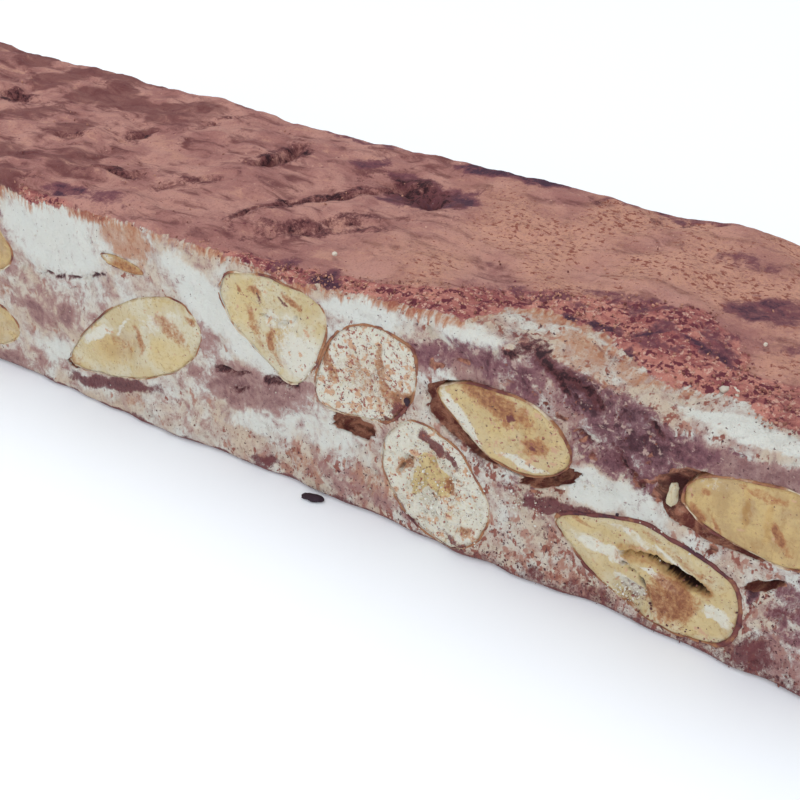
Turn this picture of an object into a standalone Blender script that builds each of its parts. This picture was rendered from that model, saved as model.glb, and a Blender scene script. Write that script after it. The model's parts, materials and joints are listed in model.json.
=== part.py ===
# A slice of soft almond nougat, knife-cut from a slab that was dusted with cocoa.
# Metres, +Z up. The origin is the middle of the underside and +X runs along the slice.
# Its four sides are knife cuts, so they show the almonds in section, and its top and
# underside are the slab's dusted skins. Each almond is a solid of its own in a socket.

import math
import random
from collections import namedtuple

import bmesh
import bpy
from mathutils import Matrix, Vector, noise

MM = 0.001

# Driving dimensions of the slice
LENGTH = 160 * MM        # between the two end cuts
WIDTH = 37 * MM          # between the front and back cuts
HEIGHT = 28 * MM         # from the board to the dusted top
EDGE_ROUND = 1.6 * MM    # how far the soft edges have slumped
CELLS = (60, 13, 8)      # facets along X, Y and Z, without the rows beside the edges
EDGE_ROW = EDGE_ROUND    # width of the facet row beside each edge

# How uneven its faces are
CUT_WANDER = 0.45 * MM   # the knife's drift over the length of a cut
CUT_TEAR = 0.3 * MM      # torn relief left by the knife
TOP_SWELL = 0.55 * MM    # broad swellings of the dusted top
TOP_LUMP = 0.3 * MM      # lumps a few millimetres across
FRONT_SLOPE = 0.5 * MM   # fall of the top towards its front edge
WORN_FALL = 1.9 * MM     # extra fall where that edge is worn round
WORN_MIDDLE = 51 * MM    # where along the slice it is worn most
WORN_REACH = 13 * MM
SLOPE_WIDTH = 9 * MM
LEFT_RISE = 0.8 * MM     # the top climbs towards the left end
LEFT_SPREAD = 0.9 * MM   # and the back cut leans out there
LEFT_RUN = 30 * MM       # length of that stretch

# Almonds and what holds them
SOCKET_GAP = 0.3 * MM    # clearance between a kernel and its socket
KERNEL_SIDES = 16
KERNEL_RINGS = ((0.0, 1.0), (0.55, 0.84), (0.92, 0.40))   # share of depth, share of outline
CUTTER_PROUD = 3 * MM    # how far a cutter stands out of the face that it cuts

NOUGAT_CREAM = (0.72, 0.66, 0.58, 1.0)
COCOA_BROWN = (0.32, 0.17, 0.12, 1.0)
ALMOND_CREAM = (0.66, 0.54, 0.33, 1.0)

# An oval seen on a cut face. Along and height place its middle, measured from the middle
# of the face and from the board. Taper widens the end that the tilt points to.
Oval = namedtuple("Oval", "along height length breadth tilt taper squareness depth")


def oval_mm(along, height, length, breadth, tilt, depth, taper=0.0, squareness=2.0):
    return Oval(along * MM, height * MM, length * MM, breadth * MM,
                math.radians(tilt), taper, squareness, depth * MM)


FRONT_KERNELS = {
    "almond_front_left_a": oval_mm(-73.5, 10.0, 10.5, 8.4, 20, 4.0, taper=0.2),
    "almond_front_left_b": oval_mm(-61.5, 19.0, 17.5, 8.8, -14, 4.4, taper=0.3),
    "almond_front_left_c": oval_mm(-54.5, 6.8, 14.5, 9.2, 12, 4.2, taper=-0.2),
    "almond_front_edge_high": oval_mm(-40.6, 18.6, 13.0, 8.6, -6, 4.2, taper=0.1),
    "almond_front_edge_low": oval_mm(-41.6, 5.9, 13.0, 6.6, 5, 3.6),
    "almond_front_long": oval_mm(-14.0, 11.2, 26.3, 9.5, 29, 4.8, taper=0.41, squareness=1.9),
    "almond_front_sliver": oval_mm(-13.7, 22.0, 6.4, 1.6, -8, 1.5),
    "almond_front_split": oval_mm(8.4, 21.2, 14.4, 11.0, -20, 4.8, taper=0.42, squareness=2.9),
    "almond_front_leaning": oval_mm(21.3, 18.2, 15.8, 10.6, 40, 5.0, taper=0.12, squareness=1.8),
    "almond_front_chalky": oval_mm(30.6, 7.6, 15.2, 12.0, 135, 5.0, taper=0.06, squareness=2.2),
    "almond_front_loose": oval_mm(38.8, 18.3, 15.8, 8.5, -13, 4.2, taper=0.27, squareness=1.8),
    "almond_front_hollow": oval_mm(55.5, 6.9, 21.0, 10.0, -10, 4.8, taper=0.33),
    "almond_front_smooth": oval_mm(65.6, 17.8, 14.6, 8.0, 2, 4.2, taper=0.2, squareness=2.5),
    "almond_front_right": oval_mm(75.3, 7.0, 6.6, 7.6, 8, 3.4),
}

# Open hollows of the front cut: sockets that have come away from their kernel, and tears
FRONT_HOLLOWS = {
    "hollow_below_leaning": oval_mm(19.6, 10.9, 5.6, 3.2, 0, 2.6, squareness=2.4),
    "hollow_round_loose": oval_mm(37.7, 18.0, 17.2, 9.0, -6, 3.2, taper=0.19),
    "hollow_below_loose": oval_mm(44.3, 13.8, 7.2, 2.3, 28, 2.0, taper=0.2),
    "hollow_round_smooth": oval_mm(64.4, 16.9, 17.4, 8.6, -2, 1.8, taper=0.25),
    "tear_right": oval_mm(67.4, 10.6, 4.6, 1.2, 32, 2.2),
    "tear_below_long": oval_mm(-26.0, 6.3, 6.0, 1.1, -16, 1.6),
}

# The gap between the two halves of the hollow almond
HALVES_GAP = oval_mm(57.8, 7.6, 8.4, 1.4, -6, 3.2)

# Kernels on the faces that turn away: how many, and the range that they are drawn from
BACK_COUNT = 8
END_COUNT = 2
KERNEL_LENGTH = (13.0, 19.0)
KERNEL_BREADTH = (8.0, 10.5)
KERNEL_TILT = (-40.0, 40.0)
END_LENGTH = (10.5, 13.0)
SEED = 23

# Crevices and folds of the dusted top: route across it, width and depth, in millimetres
CREVICES = {
    "deep_pit": ([(-11.2, 1.8), (-9.4, 3.4), (-8.4, 6.0), (-8.5, 9.0), (-9.2, 12.2)], 2.8, 2.4),
    "fold_high": ([(-2.2, -12.4), (-2.0, -9.0), (0.5, -4.2), (2.6, 0.6), (6.4, 4.4), (10.2, 7.4)],
                  1.9, 1.9),
    "fold_mouth": ([(6.8, 9.4), (10.4, 8.8), (13.6, 6.8), (15.8, 4.0)], 3.6, 2.3),
    "fold_low": ([(-1.2, -12.8), (2.6, -12.2), (6.4, -8.6), (10.0, -4.4), (13.8, -3.0), (15.6, 0.4)],
                 1.8, 1.5),
    "crease_left": ([(-28.6, -10.4), (-24.4, -9.1), (-20.8, -8.6), (-17.0, -9.6), (-14.4, -6.0),
                     (-12.6, -3.6), (-8.8, -2.5)], 1.6, 1.2),
    "crease_back": ([(-31.0, -0.4), (-30.2, 2.8), (-28.8, 5.8)], 1.5, 1.1),
    "crease_middle": ([(-39.4, -3.7), (-36.6, -2.6), (-35.6, -0.6)], 1.3, 0.9),
    "crease_front": ([(-38.9, -13.2), (-37.6, -10.6), (-35.0, -9.6)], 1.3, 0.9),
    "hollow_far_left": ([(-58.6, 3.8), (-55.4, 4.7), (-52.2, 4.4)], 2.4, 1.6),
    "ledge_back": ([(38.4, 15.0), (41.2, 15.2), (44.4, 16.4), (48.0, 17.6)], 1.4, 1.5),
}
CREVICE_RISE = 2.0 * MM      # how far a crevice's cutter stands above the top
CREVICE_END = 0.3            # share of the width that is left at a crevice's ends

# The tongue of nougat that lies between the two folds
TONGUE_MIDDLE = Vector((4.5 * MM, -4.5 * MM))
TONGUE_TURN = math.radians(52)
TONGUE_SIZE = (11.5 * MM, 4.6 * MM)
TONGUE_RISE = 0.8 * MM

# Each cut face: its middle at board height, the way along it and the way into the slice
FACES = {
    "front": (Vector((0, -WIDTH / 2, 0)), Vector((1, 0, 0)), Vector((0, 1, 0))),
    "back": (Vector((0, WIDTH / 2, 0)), Vector((-1, 0, 0)), Vector((0, -1, 0))),
    "left": (Vector((-LENGTH / 2, 0, 0)), Vector((0, -1, 0)), Vector((1, 0, 0))),
    "right": (Vector((LENGTH / 2, 0, 0)), Vector((0, 1, 0)), Vector((-1, 0, 0))),
}


def clear_scene():
    for old in list(bpy.data.objects):
        bpy.data.objects.remove(old)


def material(name, colour, roughness):
    made = bpy.data.materials.new(name)
    made.use_nodes = True
    made.diffuse_color = colour
    shader = made.node_tree.nodes["Principled BSDF"]
    shader.inputs["Base Color"].default_value = colour
    shader.inputs["Roughness"].default_value = roughness
    shader.inputs["Metallic"].default_value = 0.0
    return made


def add_object(name, shape, materials=(), collection=None):
    """Turns a bmesh into a named object, with its faces pointing out."""
    bmesh.ops.recalc_face_normals(shape, faces=shape.faces)
    mesh = bpy.data.meshes.new(name)
    shape.to_mesh(mesh)
    shape.free()
    for made in materials:
        mesh.materials.append(made)
    mesh.shade_smooth()
    mesh.set_sharp_from_angle(angle=math.radians(50))
    placed = bpy.data.objects.new(name, mesh)
    (collection or bpy.context.scene.collection).objects.link(placed)
    return placed


def add_cutter(name, shape, collection):
    cutter = add_object(name, shape, collection=collection)
    cutter.hide_render = True
    cutter.display_type = "WIRE"
    return cutter


def subtract(target, cutters):
    cut = target.modifiers.new("cut", "BOOLEAN")
    cut.operation = "DIFFERENCE"
    cut.solver = "EXACT"
    cut.operand_type = "COLLECTION"
    cut.collection = cutters


def smoothstep(value):
    value = min(max(value, 0.0), 1.0)
    return value * value * (3 - 2 * value)


def ripple(x, y, size, layer):
    """Soft noise between about -1 and 1, whose lumps are about size across."""
    return 2 * noise.noise(Vector((x / size, y / size, layer * 7.3)))


def left_share(x):
    return smoothstep((-x - (LENGTH / 2 - LEFT_RUN)) / LEFT_RUN)


def tongue_rise(x, y):
    """The height of the tongue over a point of the top."""
    offset = Vector((x, y)) - TONGUE_MIDDLE
    offset.rotate(Matrix.Rotation(-TONGUE_TURN, 2))
    reach = math.hypot(offset.x / TONGUE_SIZE[0], offset.y / TONGUE_SIZE[1])
    return TONGUE_RISE * smoothstep(1.25 - reach)


def top_relief(x, y):
    """How far the dusted top stands above or below its plain height."""
    swell = TOP_SWELL * ripple(x, 1.4 * y, 17 * MM, 1)
    lumps = TOP_LUMP * ripple(x, y, 5.5 * MM, 2)
    worn = math.exp(-((x - WORN_MIDDLE) / WORN_REACH) ** 2)
    nearness = max(0.0, 1 - (y + WIDTH / 2) / SLOPE_WIDTH)
    slope = (FRONT_SLOPE + WORN_FALL * worn) * nearness ** 2
    return swell + lumps - slope + LEFT_RISE * left_share(x) + tongue_rise(x, y)


def cut_relief(along, z, layer):
    """How far a knife cut stands out of its plane."""
    wander = CUT_WANDER * ripple(along, 0.4 * z, 21 * MM, layer)
    return wander + CUT_TEAR * ripple(along, z, 4.5 * MM, layer + 1)


def slumped(point):
    """Rounds the edges and corners of the plain block."""
    middle = Vector((0, 0, HEIGHT / 2))
    offset = point - middle
    inner = Vector((LENGTH / 2, WIDTH / 2, HEIGHT / 2)) - Vector((EDGE_ROUND,) * 3)
    core = Vector([min(max(offset[axis], -inner[axis]), inner[axis]) for axis in range(3)])
    over = offset - core
    if over.length > 0:
        over = over.normalized() * EDGE_ROUND
    return middle + core + over


def uneven(point):
    """Moves a point of the plain block to its place on the real, uneven slice."""
    x, y, z = slumped(point)
    height_share = z / HEIGHT
    side_y = smoothstep((abs(point.y) - WIDTH / 4) / (WIDTH / 4))
    side_x = smoothstep((abs(point.x) - LENGTH * 0.46) / (LENGTH * 0.04))
    if point.y < 0:
        y -= side_y * cut_relief(point.x, z, 3)
    else:
        y += side_y * (cut_relief(point.x, z, 5) + LEFT_SPREAD * left_share(x) * height_share)
    out = math.copysign(cut_relief(point.y, z, 7 if point.x < 0 else 9), point.x)
    x += side_x * out
    z += top_relief(x, y) * smoothstep(height_share * 1.6 - 0.6)
    return Vector((x, y, z))


def stations(low, high, cells):
    """Cutting positions: a narrow row beside each edge and even rows between."""
    inner = (high - low - 2 * EDGE_ROW) / cells
    return [low + EDGE_ROW + inner * step for step in range(cells + 1)]


def slice_block():
    """The slice without its sockets: a faceted block, made uneven, with a flat underside."""
    block = bmesh.new()
    place = Matrix.Translation((0, 0, HEIGHT / 2)) @ Matrix.Diagonal((LENGTH, WIDTH, HEIGHT, 1))
    bmesh.ops.create_cube(block, size=1.0, matrix=place)
    spans = ((-LENGTH / 2, LENGTH / 2), (-WIDTH / 2, WIDTH / 2), (0, HEIGHT))
    for axis, (span, cells) in enumerate(zip(spans, CELLS)):
        normal = Vector((0, 0, 0))
        normal[axis] = 1
        for station in stations(*span, cells):
            everything = block.verts[:] + block.edges[:] + block.faces[:]
            bmesh.ops.bisect_plane(block, geom=everything, plane_co=normal * station, plane_no=normal)
    for face in block.faces:
        face.material_index = 1 if abs(face.normal.z) > 0.5 else 0
    underside = [face for face in block.faces
                 if all(vert.co.z == 0 and abs(vert.co.x) < LENGTH / 2 - EDGE_ROW / 2
                        and abs(vert.co.y) < WIDTH / 2 - EDGE_ROW / 2 for vert in face.verts)]
    bmesh.ops.dissolve_faces(block, faces=underside)
    for vert in block.verts:
        vert.co = uneven(vert.co)
    return block


def face_matrix(face):
    """From a face's own axes (along, inwards, up) to the slice's."""
    middle, along, inwards = FACES[face]
    up = Vector((0, 0, 1))
    turned = Matrix((along, inwards, up)).transposed().to_4x4()
    return Matrix.Translation(middle) @ turned


def power(value, exponent):
    return math.copysign(abs(value) ** exponent, value)


def oval_outline(oval, grow):
    """Points round the oval: a superellipse with one end wider, turned by its tilt."""
    half_length = oval.length / 2 + grow
    half_breadth = oval.breadth / 2 + grow
    for step in range(KERNEL_SIDES):
        angle = 2 * math.pi * (step + 0.5) / KERNEL_SIDES
        u = half_length * power(math.cos(angle), 2 / oval.squareness)
        v = half_breadth * power(math.sin(angle), 2 / oval.squareness)
        v *= 1 + oval.taper * u / half_length
        yield (u * math.cos(oval.tilt) - v * math.sin(oval.tilt),
               u * math.sin(oval.tilt) + v * math.cos(oval.tilt))


def skin(shape, sections):
    """Joins equal rings of points into a closed form, with a flat face at each end."""
    count = len(sections[0])
    for near, far in zip(sections, sections[1:]):
        for side in range(count):
            other = (side + 1) % count
            shape.faces.new((near[side], near[other], far[other], far[side]))
    shape.faces.new(sections[0])
    shape.faces.new(sections[-1])


def kernel_shape(face, oval, grow=0.0, proud=0.0):
    """A kernel cut flush with a face: its outline, drawn inwards in shrinking rings."""
    shape = bmesh.new()
    place = face_matrix(face)
    depth = oval.depth + grow
    rings = [(-proud, 1.0)] if proud else []
    rings += [(depth * share, width) for share, width in KERNEL_RINGS]
    sections = []
    for inwards, width in rings:
        points = [Vector((oval.along + u * width, inwards, oval.height + v * width))
                  for u, v in oval_outline(oval, grow)]
        sections.append([shape.verts.new(place @ point) for point in points])
    skin(shape, sections)
    return shape


def scattered_ovals(face, count, lengths, draw):
    """Kernels spread evenly along a face, low and high in turn."""
    run = LENGTH if face == "back" else WIDTH
    for index in range(count):
        along = ((index + 0.5) / count - 0.5) * run
        height = 8.3 if index % 2 else 18.8
        yield oval_mm(along / MM + draw.uniform(-1.5, 1.5), height + draw.uniform(-0.8, 0.8),
                      draw.uniform(*lengths), draw.uniform(*KERNEL_BREADTH),
                      draw.uniform(*KERNEL_TILT) * (0.5 if face != "back" else 1.0),
                      draw.uniform(3.8, 4.6), taper=draw.uniform(-0.35, 0.35),
                      squareness=draw.uniform(1.9, 2.4))


def all_kernels():
    """Every almond, as its name, its face and its oval."""
    draw = random.Random(SEED)
    for name, oval in FRONT_KERNELS.items():
        yield name, "front", oval
    for face, count, lengths in (("back", BACK_COUNT, KERNEL_LENGTH),
                                 ("left", END_COUNT, END_LENGTH), ("right", END_COUNT, END_LENGTH)):
        for index, oval in enumerate(scattered_ovals(face, count, lengths, draw)):
            yield f"almond_{face}_{index + 1}", face, oval


def crevice_shape(route, width, depth):
    """A wedge along a route of the top, widest at its middle and closed to points."""
    shape = bmesh.new()
    route = [Vector((x * MM, y * MM)) for x, y in route]
    sections = []
    for index, point in enumerate(route):
        ahead = route[min(index + 1, len(route) - 1)] - route[max(index - 1, 0)]
        across = Vector((-ahead.y, ahead.x)).normalized()
        share = math.sin(math.pi * (index + 0.5) / len(route))
        fullness = CREVICE_END + (1 - CREVICE_END) * share
        top = HEIGHT + top_relief(*point)
        deep = depth * MM * fullness
        half = width * MM / 2 * fullness * (1 + CREVICE_RISE / deep)
        left = point + across * half
        right = point - across * half
        sections.append([shape.verts.new((left.x, left.y, top + CREVICE_RISE)),
                         shape.verts.new((right.x, right.y, top + CREVICE_RISE)),
                         shape.verts.new((point.x, point.y, top - deep))])
    skin(shape, sections)
    return shape


def build_kernels(cutters):
    """The almonds in their own nodes, and for each a cutter that makes its socket."""
    cream = material("almond", ALMOND_CREAM, 0.55)
    for name, face, oval in all_kernels():
        add_object(name, kernel_shape(face, oval), [cream])
        add_cutter(f"socket_{name}", kernel_shape(face, oval, SOCKET_GAP, CUTTER_PROUD), cutters)
    halves = bpy.data.collections.new("halves")
    bpy.context.scene.collection.children.link(halves)
    add_cutter("halves_gap", kernel_shape("front", HALVES_GAP, proud=CUTTER_PROUD), halves)
    subtract(bpy.data.objects["almond_front_hollow"], halves)


def build_slice():
    cutters = bpy.data.collections.new("cutters")
    bpy.context.scene.collection.children.link(cutters)
    build_kernels(cutters)
    for name, oval in FRONT_HOLLOWS.items():
        add_cutter(name, kernel_shape("front", oval, proud=CUTTER_PROUD), cutters)
    for name, (route, width, depth) in CREVICES.items():
        add_cutter(name, crevice_shape(route, width, depth), cutters)
    skins = [material("nougat", NOUGAT_CREAM, 0.7), material("cocoa dust", COCOA_BROWN, 0.9)]
    subtract(add_object("nougat", slice_block(), skins), cutters)


clear_scene()
build_slice()
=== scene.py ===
import itertools
import json
import math
import random

import bpy
import numpy as np
from mathutils import Matrix, Vector, noise

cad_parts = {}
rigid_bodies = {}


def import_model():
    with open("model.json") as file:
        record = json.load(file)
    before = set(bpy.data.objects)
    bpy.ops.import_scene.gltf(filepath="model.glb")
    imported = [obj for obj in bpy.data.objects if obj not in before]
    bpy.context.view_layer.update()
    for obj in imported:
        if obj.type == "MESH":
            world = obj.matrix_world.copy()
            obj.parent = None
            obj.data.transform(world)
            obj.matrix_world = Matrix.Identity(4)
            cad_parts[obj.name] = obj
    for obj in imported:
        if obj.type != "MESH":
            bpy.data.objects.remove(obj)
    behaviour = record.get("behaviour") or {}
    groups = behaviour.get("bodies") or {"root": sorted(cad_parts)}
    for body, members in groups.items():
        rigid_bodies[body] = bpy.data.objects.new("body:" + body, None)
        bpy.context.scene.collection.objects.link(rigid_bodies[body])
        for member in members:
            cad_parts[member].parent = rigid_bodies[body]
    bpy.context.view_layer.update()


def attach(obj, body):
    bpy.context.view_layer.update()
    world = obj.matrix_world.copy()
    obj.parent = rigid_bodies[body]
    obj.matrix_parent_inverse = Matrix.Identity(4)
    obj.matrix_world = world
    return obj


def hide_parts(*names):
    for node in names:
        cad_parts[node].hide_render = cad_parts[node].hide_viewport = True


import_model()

mm = 0.001  # the numbers below are millimetres, and meshes are written in metres


# small helpers
def hexColour(text, alpha=1.0):  # sRGB hex to linear
    values = [int(text[i:i + 2], 16) / 255 for i in (1, 3, 5)]
    linear = [v / 12.92 if v <= 0.04045 else ((v + 0.055) / 1.055) ** 2.4 for v in values]
    return (*linear, alpha)


def smooth(value):  # 0 below 0, 1 above 1, an S between
    value = np.clip(value, 0, 1)
    return value * value * (3 - 2 * value)


def softNoise(places, size, seed):  # smooth noise from about -1 to 1, its lumps about size across
    rng = np.random.default_rng(seed)
    order = rng.permutation(512)
    slopes = rng.normal(size=(512, 3))
    slopes /= np.linalg.norm(slopes, axis=1)[:, None]
    cells = places / size
    base = np.floor(cells).astype(int)
    local = cells - base
    fade = local ** 3 * (local * (local * 6 - 15) + 10)
    total = np.zeros(len(places))
    for corner in itertools.product((0, 1), repeat=3):
        steps = base + corner
        index = order[(order[(order[steps[:, 0] % 512] + steps[:, 1]) % 512] + steps[:, 2]) % 512]
        weight = np.prod(np.where(corner, fade, 1 - fade), axis=1)
        total += weight * (slopes[index] * (local - corner)).sum(1)
    return 1.7 * total


def roughNoise(places, size, seed, octaves=4, keep=0.5):
    total = np.zeros(len(places))
    for step in range(octaves):
        total += keep ** step * softNoise(places, size / 2 ** step, seed + 31 * step)
    return total


def ripple(x, y, size, layer):  # the same slow noise that shapes the solid
    return np.array([2 * noise.noise((a / size, b / size, layer * 7.3)) for a, b in zip(x, y)])


def deselectAll():
    if bpy.context.mode != "OBJECT":
        bpy.ops.object.mode_set(mode="OBJECT")
    bpy.ops.object.select_all(action="DESELECT")


def makeActive(piece):
    deselectAll()
    piece.select_set(True)
    bpy.context.view_layer.objects.active = piece


def newPiece(name):  # the primitive just added, named
    piece = bpy.context.active_object
    piece.name = name
    piece.data.name = name
    return piece


def faceOutwards(piece):
    makeActive(piece)
    bpy.ops.object.mode_set(mode="EDIT")
    bpy.ops.mesh.select_all(action="SELECT")
    bpy.ops.mesh.normals_make_consistent(inside=False)
    bpy.ops.object.mode_set(mode="OBJECT")


def readPoints(piece):
    flat = np.empty(len(piece.data.vertices) * 3)
    piece.data.vertices.foreach_get("co", flat)
    return flat.reshape(-1, 3) / mm


def writePoints(piece, places):
    piece.data.vertices.foreach_set("co", (places * mm).ravel())
    piece.data.update()


def addMask(piece, name, values):
    layer = piece.data.attributes.new(name, "FLOAT", "POINT")
    layer.data.foreach_set("value", np.clip(values, 0, 1).astype(np.float32))


def finishPiece(piece, slotName, look, *nodes, angular=False):
    piece.data.materials.clear()
    piece.data.materials.append(look)
    if angular:
        piece.data.shade_flat()
    else:
        piece.data.shade_smooth()
    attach(piece, "root")
    if nodes:
        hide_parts(*nodes)


# materials
def startMaterial(name):
    look = bpy.data.materials.new(name)
    look.use_nodes = True
    look.node_tree.nodes.clear()
    return look


def addNode(look, kind, settings=None, links=None):
    node = look.node_tree.nodes.new(kind)
    for key, value in (settings or {}).items():
        if hasattr(node, key):
            setattr(node, key, value)
        else:
            node.inputs[key].default_value = value
    for key, source in (links or {}).items():
        look.node_tree.links.new(source, node.inputs[key])
    return node


def grain(look, where, size, detail=3.0, roughness=0.6, distortion=0.0):  # noise with lumps of size mm
    node = addNode(look, "ShaderNodeTexNoise", {"Scale": 1 / (size * mm), "Detail": detail,
                                                "Roughness": roughness, "Distortion": distortion},
                   {"Vector": where})
    return node.outputs["Fac"]


def ramp(look, value, low, high, to=1.0):  # 0 at low, to at high
    node = addNode(look, "ShaderNodeMapRange", {"interpolation_type": "SMOOTHSTEP", "From Min": low,
                                                "From Max": high, "To Max": to}, {"Value": value})
    return node.outputs["Result"]


def calc(look, operation, first, second):
    node = addNode(look, "ShaderNodeMath", {"operation": operation, "use_clamp": False})
    for index, value in enumerate((first, second)):
        if isinstance(value, (int, float)):
            node.inputs[index].default_value = value
        else:
            look.node_tree.links.new(value, node.inputs[index])
    return node.outputs[0]


def blendTo(look, share, under, over):  # colours are hex or sockets
    node = addNode(look, "ShaderNodeMix", {"data_type": "RGBA"})
    for index, colour in ((6, under), (7, over)):
        if isinstance(colour, str):
            node.inputs[index].default_value = hexColour(colour)
        else:
            look.node_tree.links.new(colour, node.inputs[index])
    look.node_tree.links.new(share, node.inputs[0])
    return node.outputs[2]


def mask(look, name):
    return addNode(look, "ShaderNodeAttribute", {"attribute_name": name}).outputs["Fac"]


def about(look, value, share):  # a noise value's swing about its middle, times share
    return calc(look, "MULTIPLY", calc(look, "SUBTRACT", value, 0.5), share)


def layers(look, colour, *steps):  # each: value, where it starts, where it is full, share, colour on top
    for value, low, high, share, over in steps:
        colour = blendTo(look, ramp(look, value, low, high, share), colour, over)
    return colour


def flecks(look, colour, where, size, amount, share, over):  # ragged: 0 leaves almost none, 1 covers half
    raised = calc(look, "ADD", grain(look, where, size, 3, 0.6), calc(look, "MULTIPLY", amount, 0.2 * share))
    return layers(look, colour, (raised, 0.67, 0.75, 1, over))


def roughMask(look, name, *swings):  # a mask whose edge is broken up by noise: value and share
    total = mask(look, name)
    for value, share in swings:
        total = calc(look, "ADD", total, about(look, value, share))
    return total


def shifted(look, where, x, y, z, stretch=(1, 1, 1)):
    node = addNode(look, "ShaderNodeMapping", {"Location": (x * mm, y * mm, z * mm), "Scale": stretch},
                   {"Vector": where})
    return node.outputs["Vector"]


def finishMaterial(look, colour, rough, height, bumpStrength, bumpDistance, constants):
    bump = addNode(look, "ShaderNodeBump", {"Strength": bumpStrength, "Distance": bumpDistance * mm},
                   {"Height": height})
    links = {"Base Color": colour, "Normal": bump.outputs["Normal"]}
    if rough is not None:
        links["Roughness"] = rough
    shader = addNode(look, "ShaderNodeBsdfPrincipled", constants, links)
    addNode(look, "ShaderNodeOutputMaterial", {}, {"Surface": shader.outputs["BSDF"]})
    return look


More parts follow.
